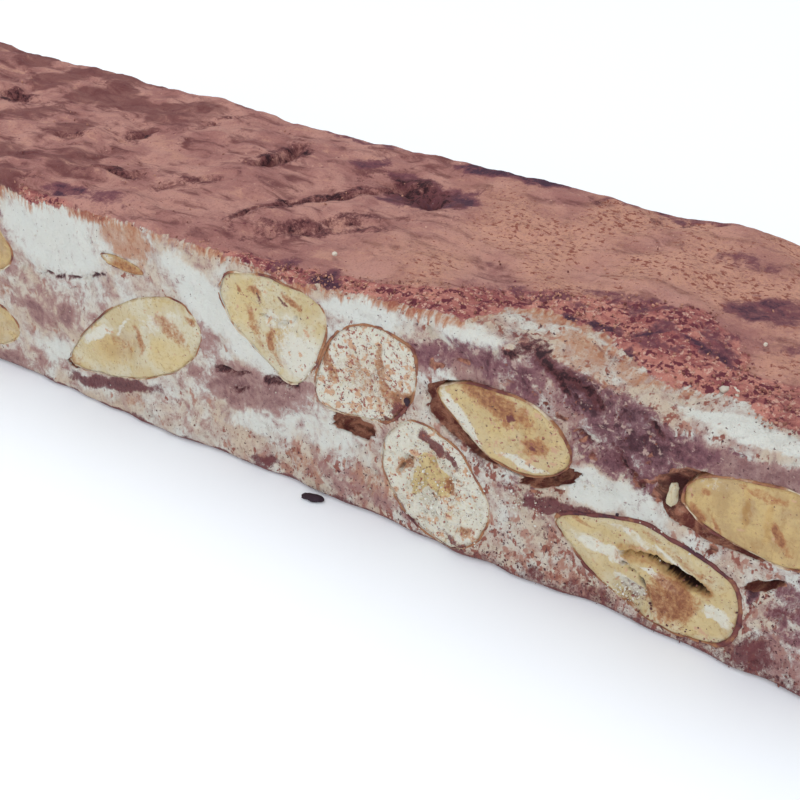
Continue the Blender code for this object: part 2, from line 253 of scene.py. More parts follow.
def nougatMaterial():  # whipped sugar and egg-white nougat, torn by the knife, under cocoa powder
    look = startMaterial("cocoa dusted nougat")
    where = addNode(look, "ShaderNodeTexCoord").outputs["Object"]
    upright = shifted(look, where, 5, 3, 1, (1, 1, 0.62))
    lying = shifted(look, where, 2, 7, 4, (0.45, 1, 1))
    drips = grain(look, shifted(look, where, 1, 1, 1, (1, 0.3, 0.25)), 0.5, 3, 0.6)
    fine = grain(look, upright, 0.5, 5, 0.8)
    tiny = grain(look, where, 0.25, 3, 0.6)
    middle = grain(look, where, 1.9, 5, 0.65, 0.4)
    broad = grain(look, where, 6.5, 4, 0.6, 0.5)
    streak = grain(look, lying, 2.2, 5, 0.65, 0.6)
    dust = mask(look, "dust")
    grainy = mask(look, "grainy")
    pepper = mask(look, "pepper")
    rust = mask(look, "rust")

    # the cut: white and cream foam with mauve and plum marbling
    white = roughMask(look, "white", (fine, 1.5), (drips, 0.6))
    marble = roughMask(look, "marble", (middle, 1.9), (fine, 1.0))
    plum = roughMask(look, "plum", (middle, 1.7), (fine, 0.9))
    stain = roughMask(look, "stain", (fine, 1.4), (drips, 0.8))
    maroon = roughMask(look, "maroon", (fine, 1.3))
    colour = layers(look, "#D5D4CC", (broad, 0.38, 0.62, 1, "#CBB9A4"), (middle, 0.42, 0.66, 0.85, "#B2958A"),
                    (fine, 0.5, 0.7, 0.75, "#9E786D"))
    colour = flecks(look, colour, upright, 1.6, pepper, 1, "#B08474")
    colour = flecks(look, colour, upright, 0.9, pepper, 1, "#93594C")
    colour = layers(look, colour, (white, 0.2, 0.8, 0.88, "#DBDCD4"),
                    (marble, 0.2, 0.75, 0.9, "#A37C77"), (marble, 0.65, 1.3, 0.85, "#7A5153"),
                    (plum, 0.3, 0.75, 0.95, "#80525A"), (plum, 0.65, 1.1, 0.95, "#46262F"))
    colour = flecks(look, colour, shifted(look, where, 7, 1, 5), 1.0, mask(look, "plum"), 0.5, "#B99C92")
    colour = layers(look, colour, (stain, 0.3, 0.95, 0.75, "#B98260"), (stain, 0.95, 1.4, 0.7, "#A2583A"),
                    (maroon, 0.35, 0.8, 0.95, "#6C383C"), (maroon, 0.85, 1.2, 0.9, "#42212A"))
    colour = flecks(look, colour, shifted(look, where, 9, 4, 6), 0.4, pepper, 0.6, "#512A30")

    # cocoa powder: soft and smeared, redder and grainy where it thins out towards the right
    powder = layers(look, "#BE8B7F", (broad, 0.38, 0.6, 1, "#A5716A"), (streak, 0.48, 0.68, 0.95, "#784846"),
                    (streak, 0.46, 0.3, 0.8, "#C4917F"), (middle, 0.55, 0.75, 0.5, "#6E403F"),
                    (tiny, 0.5, 0.75, 0.45, "#74443F"))
    rubbed = calc(look, "MULTIPLY", rust, ramp(look, fine, 0.3, 0.6, 0.85))
    powder = blendTo(look, rubbed, powder, "#CE9A81")
    powder = flecks(look, powder, shifted(look, where, 4, 4, 4, (0.7, 1, 1)), 0.5, rust, 0.7, "#8F5346")
    red = layers(look, "#C48274", (streak, 0.4, 0.62, 1, "#955050"), (fine, 0.52, 0.76, 0.75, "#74393F"),
                 (fine, 0.46, 0.26, 0.75, "#C89284"))
    redness = roughMask(look, "grainy", (middle, 0.9), (fine, 0.7))
    powder = layers(look, powder, (redness, 0.25, 0.7, 0.95, red))
    powder = flecks(look, powder, shifted(look, where, 3, 1, 8), 0.5, grainy, 0.6, "#D2A594")
    powder = flecks(look, powder, shifted(look, where, 1, 5, 2), 0.9, grainy, 0.8, "#6A2F3A")
    gloom = roughMask(look, "gloom", (streak, 1.6))
    bruise = roughMask(look, "purple", (middle, 1.8), (fine, 0.9))
    powder = layers(look, powder, (gloom, 0.4, 0.95, 0.75, "#6C3B3B"),
                    (bruise, 0.25, 0.7, 0.9, "#74434C"), (bruise, 0.65, 1.1, 0.9, "#41283A"))

    # the powder thins out over the edge in grains and short upright streaks; the foot gets cocoa dust and
    # painted shade, creases, cracks and pits painted shade, and hollows and sockets a red-brown lining with
    # painted shade
    fringe = roughMask(look, "fringe", (drips, 1.9), (middle, 0.7))
    edge = roughMask(look, "dust", (fine, 1.2), (drips, 1.3))
    # the foot of the slice: cocoa dust and painted shade along the bottom rim
    under = roughMask(look, "under", (fine, 1.0))
    footDark = blendTo(look, middle, "#8A5450", "#5A3036")
    # painted shade: the creases of the top and the cracks of the cut are darkened where they sink in
    sunk = roughMask(look, "crease", (fine, 1.9), (middle, 1.6))
    hollow = roughMask(look, "hollow", (fine, 0.8))
    # the walls of hollows and sockets: a red-brown lining darkened with painted shade, which also draws a
    # dark outline round each almond
    hollowLiningAndShade = layers(look, "#703832", (middle, 0.4, 0.6, 1, "#B98068"), (streak, 0.5, 0.66, 0.85, "#45201F"),
                   (fine, 0.56, 0.7, 0.6, "#C9A78F"))
    colour = layers(look, colour, (fringe, 0.45, 0.9, 0.8, "#B87E5C"), (fringe, 0.8, 1.15, 0.85, "#9C5442"),
                    (edge, 0.38, 0.66, 1, powder), (under, 0.35, 0.75, 1, footDark),
                    # painted shade in the creases and cracks
                    (sunk, 0.25, 0.75, 0.9, "#6B3B3D"), (sunk, 0.68, 1.05, 0.95, "#33181F"),
                    # hollow walls, then near-black painted shade where the deep mask is: pits, sockets and
                    # hollows
                    (hollow, 0.3, 0.6, 1, hollowLiningAndShade), (mask(look, "deep"), 0.3, 0.9, 1, "#2A1013"))
    rough = addNode(look, "ShaderNodeMapRange", {"To Min": 0.55, "To Max": 0.95}, {"Value": dust})
    height = calc(look, "ADD", calc(look, "MULTIPLY", fine, 0.9), calc(look, "MULTIPLY", middle, 1.2))
    height = calc(look, "ADD", height, calc(look, "MULTIPLY", tiny, 0.4))
    constants = {"Subsurface Weight": 0.1, "Subsurface Radius": (1.0, 0.7, 0.5),
                 "Subsurface Scale": 1.0 * mm, "Specular IOR Level": 0.3}
    return finishMaterial(look, colour, rough.outputs["Result"], height, 0.8, 0.55, constants)


def almondMaterial():  # raw-white almond flesh, oily and dense, stained by its skin
    look = startMaterial("almond flesh")
    where = addNode(look, "ShaderNodeTexCoord").outputs["Object"]
    upright = shifted(look, where, 2, 2, 2, (1, 1, 0.35))
    fine = grain(look, where, 0.45, 5, 0.7)
    middle = grain(look, where, 1.8, 4, 0.6, 0.4)
    broad = grain(look, where, 4.5, 3, 0.5, 0.4)
    streak = grain(look, upright, 0.9, 4, 0.6, 0.3)
    pepper = mask(look, "pepper")
    gold = roughMask(look, "gold", (middle, 0.8), (fine, 0.6))
    chalk = roughMask(look, "chalk", (fine, 1.6), (middle, 0.7))
    stain = roughMask(look, "stain", (fine, 1.9), (streak, 1.1))
    maroon = roughMask(look, "maroon", (fine, 1.6))
    colour = layers(look, "#BDAC86", (broad, 0.36, 0.62, 1, "#C6BFA8"), (middle, 0.5, 0.72, 0.7, "#B79F68"),
                    (gold, -0.1, 1.15, 0.85, "#C9B380"))
    tan = layers(look, "#A27C4A", (middle, 0.35, 0.65, 1, "#BF9F68"), (streak, 0.5, 0.72, 0.6, "#966A3E"))
    colour = blendTo(look, mask(look, "tan"), colour, tan)
    colour = layers(look, colour, (fine, 0.52, 0.7, 0.6, "#9C7C50"), (streak, 0.55, 0.72, 0.35, "#A4804E"),
                    (chalk, 0.3, 0.8, 0.92, "#CFCCBF"))
    colour = flecks(look, colour, where, 1.1, pepper, 1, "#C09A7C")
    colour = layers(look, colour, (stain, 0.15, 0.9, 0.85, "#A26C42"), (stain, 0.75, 1.3, 0.85, "#7A432C"),
                    (maroon, 0.3, 0.75, 0.95, "#6A3332"))
    colour = flecks(look, colour, shifted(look, where, 3, 8, 2), 0.5, pepper, 0.75, "#94584A")
    colour = flecks(look, colour, shifted(look, where, 9, 4, 6), 0.35, pepper, 0.45, "#4C2A2C")
    rim = calc(look, "MULTIPLY", mask(look, "rim"), ramp(look, middle, 0.45, 0.65, 0.8))
    colour = blendTo(look, rim, colour, "#9E7C4E")
    # painted shade in the splits and in the gap of the hollow almond
    colour = layers(look, colour, (mask(look, "deep"), 0.1, 0.9, 1, "#2A130D"))
    height = calc(look, "ADD", fine, calc(look, "MULTIPLY", middle, 0.8))
    constants = {"Roughness": 0.5, "Subsurface Weight": 0.15, "Subsurface Radius": (1.0, 0.7, 0.35),
                 "Subsurface Scale": 1.2 * mm, "Specular IOR Level": 0.35}
    return finishMaterial(look, colour, None, height, 0.6, 0.35, constants)


def skinMaterial():  # dry papery almond skin, fading into the foam where it is thin
    look = startMaterial("almond skin")
    where = addNode(look, "ShaderNodeTexCoord").outputs["Object"]
    middle = grain(look, where, 1.5, 4, 0.6)
    tone = roughMask(look, "shade", (middle, 1.6))
    colour = layers(look, "#CDBFA6", (tone, -0.05, 0.3, 1, "#98694A"), (tone, 0.35, 0.7, 1, "#6A3936"),
                    (tone, 0.75, 1.05, 1, "#43222C"))
    constants = {"Roughness": 0.7, "Specular IOR Level": 0.3}
    return finishMaterial(look, colour, None, middle, 0.4, 0.1, constants)


def crumbMaterial(name, low, high, rough):  # loose bits, each tinted by its own shade
    look = startMaterial(name)
    where = addNode(look, "ShaderNodeTexCoord").outputs["Object"]
    fine = grain(look, where, 0.3, 3, 0.6)
    colour = blendTo(look, mask(look, "shade"), low, high)
    constants = {"Roughness": rough, "Specular IOR Level": 0.3}
    return finishMaterial(look, colour, None, fine, 0.4, 0.1, constants)


# the slice's shape, as in the solid
slicePiece = {"length": 160.0, "width": 37.0, "height": 28.0, "round": 0.8, "cuts": (370, 84, 63),
              "cutWander": 0.45, "cutTear": 0.3, "topSwell": 0.55, "topLump": 0.3, "frontSlope": 0.5,
              "wornFall": 1.9, "wornMiddle": 51.0, "wornReach": 13.0, "slopeWidth": 9.0,
              "leftRise": 0.8, "leftSpread": 0.9, "leftRun": 30.0}
tongue = {"middle": (4.5, -4.5), "turn": math.radians(52), "size": (11.5, 4.6), "rise": 0.8}
backRises = [(14.0, 24.0, 1.0), (-50.0, 18.0, 0.5)]  # where the back edge stands up: x, spread, height

# creases of the top: route, width and depth
creases = [
    ([(-11.2, 1.8), (-9.6, 3.4), (-8.4, 6.0), (-8.5, 9.0), (-9.2, 12.2)], 2.6, 2.4),
    ([(-2.2, -12.4), (-2.0, -9.0), (0.5, -4.2), (2.6, 0.6), (6.4, 4.4), (10.2, 7.4)], 1.7, 1.7),
    ([(4.8, 8.4), (10.0, 8.2), (13.6, 6.8), (15.8, 4.0)], 4.0, 2.1),
    ([(-1.2, -12.8), (2.6, -12.2), (6.4, -8.6), (10.0, -4.4), (13.8, -3.0), (15.6, 0.4)], 2.4, 1.1),
    ([(-28.6, -10.4), (-24.4, -9.1), (-20.8, -8.6), (-20.6, -5.6)], 1.4, 1.2),
    ([(-17.2, -9.6), (-14.4, -6.0), (-12.6, -3.6), (-8.8, -2.5)], 1.2, 0.9),
    ([(-31.0, -0.4), (-30.2, 2.8), (-28.8, 5.8)], 1.5, 1.1),
    ([(-25.0, 5.6), (-24.2, 9.0), (-22.4, 16.4)], 1.1, 0.6),
    ([(-39.4, -3.7), (-36.6, -2.6), (-35.6, -0.6)], 1.3, 0.9),
    ([(-38.9, -13.2), (-37.6, -10.6), (-35.0, -9.6)], 1.3, 0.9),
    ([(-32.6, -17.6), (-30.8, -15.4), (-29.0, -14.8)], 1.2, 0.8),
    ([(-35.4, -7.0), (-34.0, -3.4)], 1.0, 0.6),
    ([(-30.2, -7.6), (-28.8, -5.5), (-26.6, -5.2)], 0.9, 0.6),
    ([(-58.6, 3.8), (-55.4, 4.7), (-52.2, 4.4)], 2.4, 1.7),
    ([(31.0, 15.4), (33.8, 15.9)], 1.0, 0.9),
    ([(38.4, 15.0), (40.8, 14.9)], 0.9, 0.8),
    ([(42.2, 15.9), (44.6, 16.5), (48.0, 17.6)], 1.0, 1.3),
]
# dark, damp patches of the powder: x, y, half length, half breadth, turn, strength
bruises = [
    (1.6, 11.0, 2.6, 1.7, 60, 0.9), (8.4, 11.0, 3.6, 0.9, 0, 0.9), (13.5, 7.0, 5.2, 3.0, 25, 1.15),
    (19.5, 17.2, 7.5, 1.9, 3, 1.15), (-3.0, 17.6, 8.0, 0.9, 0, 0.6), (40.0, 17.6, 9.0, 1.0, 0, 0.6),
    (58.4, 2.0, 5.0, 2.8, 20, 0.85), (51.8, 10.5, 3.4, 2.0, 10, 0.5), (-25.0, -16.0, 3.4, 1.2, 10, 0.9),
    (9.0, -16.6, 2.2, 1.6, 0, 0.6), (15.4, -17.2, 2.2, 1.6, 0, 0.9), (-18.5, -15.4, 4.0, 1.4, 8, 0.6),
    (46.6, -5.0, 2.0, 1.1, 20, 0.7), (50.5, -7.6, 1.8, 1.0, 10, 0.7), (66.0, 12.0, 6.0, 3.0, 10, 0.6),
    (73.0, -6.0, 4.0, 3.0, 40, 0.6), (36.0, -8.6, 6.0, 1.3, 12, 0.5), (45.0, -4.4, 5.0, 1.2, 6, 0.6),
    (56.4, -7.6, 3.4, 1.3, -35, 0.6), (50.0, -10.4, 3.0, 0.9, 0, 0.5), (48.8, -13.1, 0.8, 0.6, 0, 1.5),
    (45.2, -10.2, 1.1, 0.8, 20, 1.2), (49.0, -9.2, 1.2, 0.8, 0, 1.2), (58.0, -9.0, 1.3, 0.5, -20, 1.2),
    (41.2, -11.0, 1.4, 0.8, 0, 1.1), (54.5, -8.6, 2.0, 0.5, 0, 1.1), (60.0, -4.0, 6.0, 1.6, 10, 0.45)]
# marbling of the front cut, by mask: x, z, half length, half breadth, tilt, strength
frontMarks = {
    "marble": [(-25.6, 13.7, 10.5, 3.6, 7, 0.45), (-31.2, 10.3, 2.6, 1.8, -10, 0.9),
        (-25.1, 11.7, 1.8, 1.8, -42, 0.9), (-21.3, 8.5, 7.9, 1.4, 39, 0.4),
        (-28.8, 6.9, 3.8, 1.6, 7, 0.3), (-0.8, 15.0, 4.3, 1.8, -70, 0.55), (5.7, 10.6, 9.2, 3.0, 1, 0.9),
        (10.3, 13.3, 6.5, 1.4, 5, 0.8), (-9.2, 21.9, 6.3, 1.2, -1, 0.4),
        (-16.5, 16.4, 3.3, 2.8, -12, 0.3), (64.0, 22.8, 9.0, 1.4, 2, 1.0), (33.0, 23.6, 6.0, 2.6, 0, 0.8),
        (72.0, 4.0, 5.0, 3.0, 0, 0.7), (-31.0, 4.0, 5.0, 2.4, 10, 0.5), (26.0, 3.0, 9.0, 1.6, 4, 0.6),
        (17.0, 4.0, 4.0, 1.8, -10, 0.5), (45.0, 22.0, 9.0, 4.5, -20, 0.6),
        (55.0, 20.0, 7.0, 4.0, -10, 0.6)],
    "plum": [(42.8, 27.2, 3.5, 1.5, -19, 0.85), (36.7, 25.7, 5.2, 1.6, 6, 0.45),
        (47.8, 25.0, 4.2, 2.4, -17, 0.95), (52.2, 22.6, 5.4, 3.5, -28, 0.9),
        (56.9, 22.1, 4.4, 2.1, 2, 0.75), (62.5, 24.2, 1.2, 0.5, 0, 0.9), (49.4, 19.2, 4.8, 2.3, -16, 0.7),
        (53.8, 17.4, 2.3, 1.6, -18, 0.8), (29.7, 23.2, 2.4, 1.4, -11, 0.6),
        (36.0, 25.0, 7.0, 1.6, -4, 0.7), (41.0, 23.4, 3.0, 1.6, -30, 0.7), (72.0, 9.5, 4.0, 5.0, 0, 0.55),
        (66.4, 8.8, 0.8, 0.8, 0, 1.0), (41.5, 11.0, 3.0, 2.0, -30, 0.45)],
    "maroon": [(45.7, 10.6, 5.2, 0.9, 10, 0.85), (67.6, 3.0, 2.4, 2.6, 0, 0.8),
        (44.0, 7.0, 1.6, 1.2, 0, 0.5), (-18.0, 4.2, 8.5, 1.1, 13, 0.95), (6.8, 1.6, 2.0, 0.9, 5, 0.8),
        (35.0, 14.0, 4.0, 0.8, -30, 0.6), (70.0, 9.0, 3.0, 0.6, 20, 0.6),
        (39.6, 29.6, 3.4, 1.2, -10, 0.6), (47.0, 31.6, 3.0, 0.8, -30, 0.55)],
    "stain": [(22.0, 4.8, 4.0, 1.8, 0, 0.55), (-12.6, 25.4, 3.6, 2.0, 3, 1.15),
        (-14.1, 2.6, 2.2, 0.9, 12, 0.6), (12.5, 3.6, 3.2, 1.4, -15, 0.6),
        (46.4, 28.2, 4.6, 1.4, -21, 0.6), (47.0, 3.4, 5.0, 1.6, -10, 0.4),
        (-10.0, 24.0, 0.8, 1.6, 0, 0.7), (39.2, 33.8, 1.8, 1.0, 0, 0.8),
        (44.9, 31.6, 3.2, 1.6, -30, 0.85), (31.6, 28.4, 2.6, 0.8, 0, 0.8),
        (50.6, 29.6, 2.6, 1.0, -30, 0.75)],
    "white": [(-25.6, 22.8, 9.0, 4.4, -3, 1.0), (0.6, 20.1, 8.8, 2.6, -34, 1.0),
        (64.0, 27.1, 7.0, 1.2, -3, 1.0), (49.0, 14.2, 2.6, 1.9, 0, 1.0), (53.9, 14.4, 2.7, 1.4, -16, 1.0),
        (21.0, 26.0, 4.8, 1.4, 2, 1.0), (-27.0, 6.0, 6.0, 1.8, 5, 0.7), (15.0, 9.2, 5.0, 2.4, 10, 0.7),
        (34.0, 27.6, 4.0, 1.6, 0, 0.8), (33.0, 21.2, 2.2, 0.7, -20, 0.8), (-13.8, 25.4, 0.9, 1.0, 0, 1.0),
        (5.0, 6.6, 4.6, 1.7, 12, 0.75)],
}
# cracks and pits of the front cut: route of (x, z), width and depth
frontCracks = [
    ([(-29.8, 15.8), (-28.2, 16.8), (-26.6, 16.6), (-24.2, 17.2)], 0.26, 0.5),
    ([(-23.2, 17.6), (-21.8, 17.7), (-20.4, 18.5), (-17.0, 19.5)], 0.3, 0.5),
    ([(-0.4, 12.0), (1.0, 12.3), (3.0, 12.2), (4.8, 12.9)], 0.45, 0.8),
    ([(7.0, 12.6), (8.6, 13.4), (10.4, 13.3), (12.2, 13.9)], 0.5, 0.9),
    ([(2.2, 9.6), (3.4, 9.9), (4.0, 10.8)], 0.4, 0.6),
    ([(38.6, 26.6), (41.0, 27.2), (43.6, 26.2), (45.4, 24.2)], 0.5, 0.6),
    ([(44.6, 26.0), (47.6, 25.2), (50.0, 23.4)], 0.5, 0.7), ([(53.8, 24.6), (55.4, 22.6)], 0.5, 0.5),
    ([(50.6, 20.4), (52.0, 18.2), (54.4, 17.0)], 0.4, 0.5), ([(46.4, 20.6), (48.4, 19.6)], 0.4, 0.5),
]


def leftShare(x):
    run = slicePiece["leftRun"]
    return smooth((-x - (slicePiece["length"] / 2 - run)) / run)


def topRelief(x, y):
    s = slicePiece
    worn = np.exp(-((x - s["wornMiddle"]) / s["wornReach"]) ** 2)
    nearness = np.maximum(0, 1 - (y + s["width"] / 2) / s["slopeWidth"])
    slope = (s["frontSlope"] + s["wornFall"] * worn) * nearness ** 2
    turned = math.cos(-tongue["turn"]), math.sin(-tongue["turn"])
    across, along = x - tongue["middle"][0], y - tongue["middle"][1]
    first = (across * turned[0] - along * turned[1]) / tongue["size"][0]
    second = (across * turned[1] + along * turned[0]) / tongue["size"][1]
    rise = tongue["rise"] * smooth(1.25 - np.hypot(first, second))
    swell = s["topSwell"] * ripple(x, 1.4 * y, 17, 1) + s["topLump"] * ripple(x, y, 5.5, 2)
    return swell - slope + s["leftRise"] * leftShare(x) + rise


def cutRelief(along, z, layer):
    wander = slicePiece["cutWander"] * ripple(along, 0.4 * z, 21, layer)
    return wander + slicePiece["cutTear"] * ripple(along, z, 4.5, layer + 1)


def footSpread(x, z):  # the front cut leans out towards its foot
    return (0.4 + 0.5 * smooth((x - 15) / 30)) * smooth((9 - z) / 9) * smooth((x + 34) / 10)


def routeDistance(first, second, route):  # distance to a polyline, and the share along it
    best = np.full(len(first), 1e9)
    share = np.zeros(len(first))
    lengths = [math.dist(a, b) for a, b in zip(route, route[1:])]
    run = 0.0
    for (a, b), length in zip(zip(route, route[1:]), lengths):
        ux, uy = (b[0] - a[0]) / length, (b[1] - a[1]) / length
        t = np.clip((first - a[0]) * ux + (second - a[1]) * uy, 0, length)
        away = np.hypot(first - a[0] - t * ux, second - a[1] - t * uy)
        closer = away < best
        best = np.where(closer, away, best)
        share = np.where(closer, (run + t) / sum(lengths), share)
        run += length
    return best, share


def ovalReach(first, second, middle, halfLength, halfBreadth, tilt):  # 1 on the oval's outline
    turn = math.radians(tilt)
    a, b = first - middle[0], second - middle[1]
    u = a * math.cos(turn) + b * math.sin(turn)
    v = -a * math.sin(turn) + b * math.cos(turn)
    return np.hypot(u / halfLength, v / halfBreadth)


def kernelReach(x, z, kernel, grow=0.0):  # the same for an almond or a hollow, grown all round
    return ovalReach(x, z, (kernel["along"], kernel["height"]), kernel["length"] / 2 + grow,
                     kernel["breadth"] / 2 + grow, math.degrees(kernel["tilt"]))


def plainBlock():  # the top's grid of facets, its rim drawn down to the underside
    s = slicePiece
    columns, rows, levels = s["cuts"]
    bpy.ops.mesh.primitive_grid_add(x_subdivisions=columns, y_subdivisions=rows, size=1)
    piece = newPiece("nougat_slice")
    piece.scale = (s["length"] * mm, s["width"] * mm, 1)
    piece.location = (0, 0, s["height"] * mm)
    bpy.ops.object.transform_apply(location=True, rotation=False, scale=True)
    bpy.ops.object.mode_set(mode="EDIT")
    bpy.ops.mesh.select_mode(type="FACE")
    bpy.ops.mesh.select_all(action="SELECT")
    bpy.ops.mesh.region_to_loop()
    for level in range(levels):
        bpy.ops.mesh.extrude_edges_move(TRANSFORM_OT_translate={"value": (0, 0, -s["height"] * mm / levels)})
    bpy.ops.mesh.edge_face_add()
    for ring in range(3):
        bpy.ops.mesh.inset(thickness=s["round"] * mm / 3)
    bpy.ops.mesh.select_all(action="SELECT")
    bpy.ops.mesh.normals_make_consistent(inside=False)
    bpy.ops.object.mode_set(mode="OBJECT")
    return piece


def shapeBlock(piece):
    plain = readPoints(piece)
    places, level = roundedSlice(plain)
    places = tearCuts(plain, places, level)
    writePoints(piece, foldTop(plain, places))


def roundedSlice(plain):  # rounded edges, wandering cuts and a swelling top, as in the solid
    s = slicePiece
    half = np.array([s["length"], s["width"], s["height"]]) / 2
    middle = np.array([0, 0, s["height"] / 2])
    offset = plain - middle
    core = np.clip(offset, -(half - s["round"]), half - s["round"])
    over = offset - core
    size = np.linalg.norm(over, axis=1)
    over = over / np.maximum(size, 1e-9)[:, None] * s["round"] * (size > 1e-6)[:, None]
    places = middle + core + over
    x, y, z = places.T.copy()
    share = z / s["height"]
    sideY = smooth((np.abs(plain[:, 1]) - s["width"] / 4) / (s["width"] / 4))
    sideX = smooth((np.abs(plain[:, 0]) - s["length"] * 0.46) / (s["length"] * 0.04))
    front = plain[:, 1] < 0
    newY = np.where(front, y - sideY * cutRelief(plain[:, 0], z, 3),
                    y + sideY * (cutRelief(plain[:, 0], z, 5) + s["leftSpread"] * leftShare(x) * share))
    left = plain[:, 0] < 0
    out = np.where(left, cutRelief(plain[:, 1], z, 7), cutRelief(plain[:, 1], z, 9))
    newY = newY - footSpread(plain[:, 0], z) * front * sideY
    newX = x + sideX * np.sign(plain[:, 0]) * out
    newZ = z + topRelief(x, newY) * smooth(share * 1.6 - 0.6)
    return np.stack([newX, newY, newZ], axis=1), z


def tearCuts(plain, places, level):  # torn relief of the cuts: rough crumb, small bubbles, cracks
    s = slicePiece
    onCut = smooth((level - 0.3) / 1.0) * smooth((s["height"] + 0.2 - level) / 1.2)
    outward = np.stack([np.sign(plain[:, 0]) * (np.abs(plain[:, 0]) > s["length"] / 2 - 0.01),
                        np.sign(plain[:, 1]) * (np.abs(plain[:, 1]) > s["width"] / 2 - 0.01),
                        np.zeros(len(plain))], axis=1)
    calm = 1 - 0.5 * frontMask(places, "white")
    for kernel in frontAlmonds.values():
        near = kernelReach(places[:, 0], places[:, 2], kernel, 0.9)
        calm = calm * np.where(plain[:, 1] < -18, 1 - 0.75 * smooth((1.1 - near) / 0.15), 1)
    crumb = 0.2 * roughNoise(places, 2.2, 11, 4, 0.7)
    coarse = frontMask(places, "plum")
    crumb = crumb * (1 + 0.9 * coarse) - 0.25 * coarse
    bubbles = -0.4 * smooth((softNoise(places, 1.3, 17) - 0.55) / 0.2)
    move = (crumb + bubbles) * calm * onCut
    frontOnly = smooth((-places[:, 1] - 15) / 2)
    crackWave = 0.35 * softNoise(places, 1.1, 41)
    crackWidth = 0.7 + 0.5 * softNoise(places, 0.9, 43)
    for route, width, depth in frontCracks:
        away, along = routeDistance(places[:, 0], places[:, 2] + crackWave, route)
        taper = np.sqrt(np.clip(np.sin(np.pi * np.clip(along, 0.02, 0.98)), 0, 1))
        opened = width * taper * crackWidth
        move -= depth * taper * smooth(1.3 - away / np.maximum(opened, 0.2)) * frontOnly
    return places + outward * move[:, None]


def foldTop(plain, places):  # the dusted top: creases, folds, powder lumps
    onTop = smooth((plain[:, 2] - slicePiece["height"] + 0.4) / 0.4)
    deep = np.zeros(len(places))
    wave = 0.5 * softNoise(places, 2.0, 51) + 0.2 * softNoise(places, 0.8, 52)
    wave = wave + 0.3 * softNoise(places, 1.0, 54)
    ragged = 0.85 + 0.4 * softNoise(places, 1.2, 53)
    for route, width, depth in creases:
        away, along = routeDistance(places[:, 0] + wave, places[:, 1] - wave, route)
        taper = np.clip(np.sin(np.pi * np.clip(along, 0.03, 0.97)), 0, 1) ** 0.6
        reachOut = width / 2 * taper * ragged
        pit = smooth(1.35 - away / np.maximum(reachOut, 0.15))
        deep = np.maximum(deep, pit * taper * depth)
    deep *= np.clip(0.72 + 0.55 * softNoise(places, 2.4, 65) + 0.35 * softNoise(places, 1.0, 66), 0.1, 1.2)
    folds = (0.26 + 0.12 * smooth(-places[:, 0] / 20)) * softNoise(places * (1, 2.2, 1), 4.5, 61)
    folds += 0.12 * roughNoise(places, 1.8, 62, 3)
    for atX, spread, rise in backRises:
        folds += rise * np.exp(-((places[:, 0] - atX) / spread) ** 2) * smooth((places[:, 1] - 8) / 9)
    climbed = places[:, 2] + np.maximum(18.5 + places[:, 1], 0)
    band = smooth((profile(powderStart, places[:, 0]) - climbed) / 2) * smooth((places[:, 0] - 8) / 6)
    grit = 0.28 * band * roughNoise(places, 0.9, 63, 2)
    places[:, 2] += onTop * (folds + grit - deep * (0.8 + 0.25 * softNoise(places, 0.7, 64)))
    return places


def frontMask(places, name):
    x, z = places[:, 0], places[:, 2] + np.maximum(places[:, 1] + 18.5, 0)  # up the cut, then over the top
    wobble = np.stack([x, z, np.zeros(len(x))], axis=1)
    warpX = x + 1.1 * roughNoise(wobble, 4.0, 71, 3)
    warpZ = z + 0.8 * roughNoise(wobble, 3.0, 72, 3)
    total = np.zeros(len(x))
    for atX, atZ, halfLength, halfBreadth, tilt, strength in frontMarks[name]:
        reach = ovalReach(warpX, warpZ, (atX, atZ), halfLength, halfBreadth, tilt)
        total = np.maximum(total, strength * smooth(1.6 - reach))
    return total


# where the cream of the cut ends and where the powder is whole, by place along the slice: millimetres
# up the cut and then inwards over the top
creamLimit = [(-80, 27.2), (-33, 27.2), (-28.3, 26.2), (-24.8, 26.7), (-19.6, 27.3), (-8.4, 27.6), (1, 27.8),
              (4.8, 27.4), (10.4, 26.2), (13.1, 26.6), (17, 27.5), (25.5, 28.5), (31, 28.7), (33.1, 29.1),
              (34.6, 31), (35.6, 33.6), (38.9, 35.3), (45.4, 34.4), (48, 32.8), (51.3, 30.5), (54.5, 29.8),
              (59.1, 30.8), (62, 29.9), (65.5, 28.3), (70, 28.5), (80, 27.6)]
powderStart = [(-10, 28.8), (10.8, 30.2), (21.3, 31.4), (28.8, 34), (32.8, 37.6), (36.1, 39.4), (42.2, 41.2),
               (46, 43.1), (53.2, 44.4), (57.5, 40.4), (59.2, 39.2), (61.2, 35.5), (70, 34.6), (80, 34)]


def profile(points, x):
    return np.interp(x, [a for a, _ in points], [b for _, b in points])


def sliceMasks(piece):
    places = readPoints(piece)
    x, y, _ = places.T
    warped = places + 0.9 * np.stack([roughNoise(places, 3.0, seed, 2) for seed in (91, 92, 93)], axis=1)
    inside = np.minimum(slicePiece["width"] / 2 - np.abs(y), slicePiece["length"] / 2 - np.abs(x))
    front = smooth((-y - 12) / 2)
    powderMasks(piece, places, warped, inside)
    marblingMasks(piece, places, warped, front)
    darkMasks(piece, places, warped, inside, front)


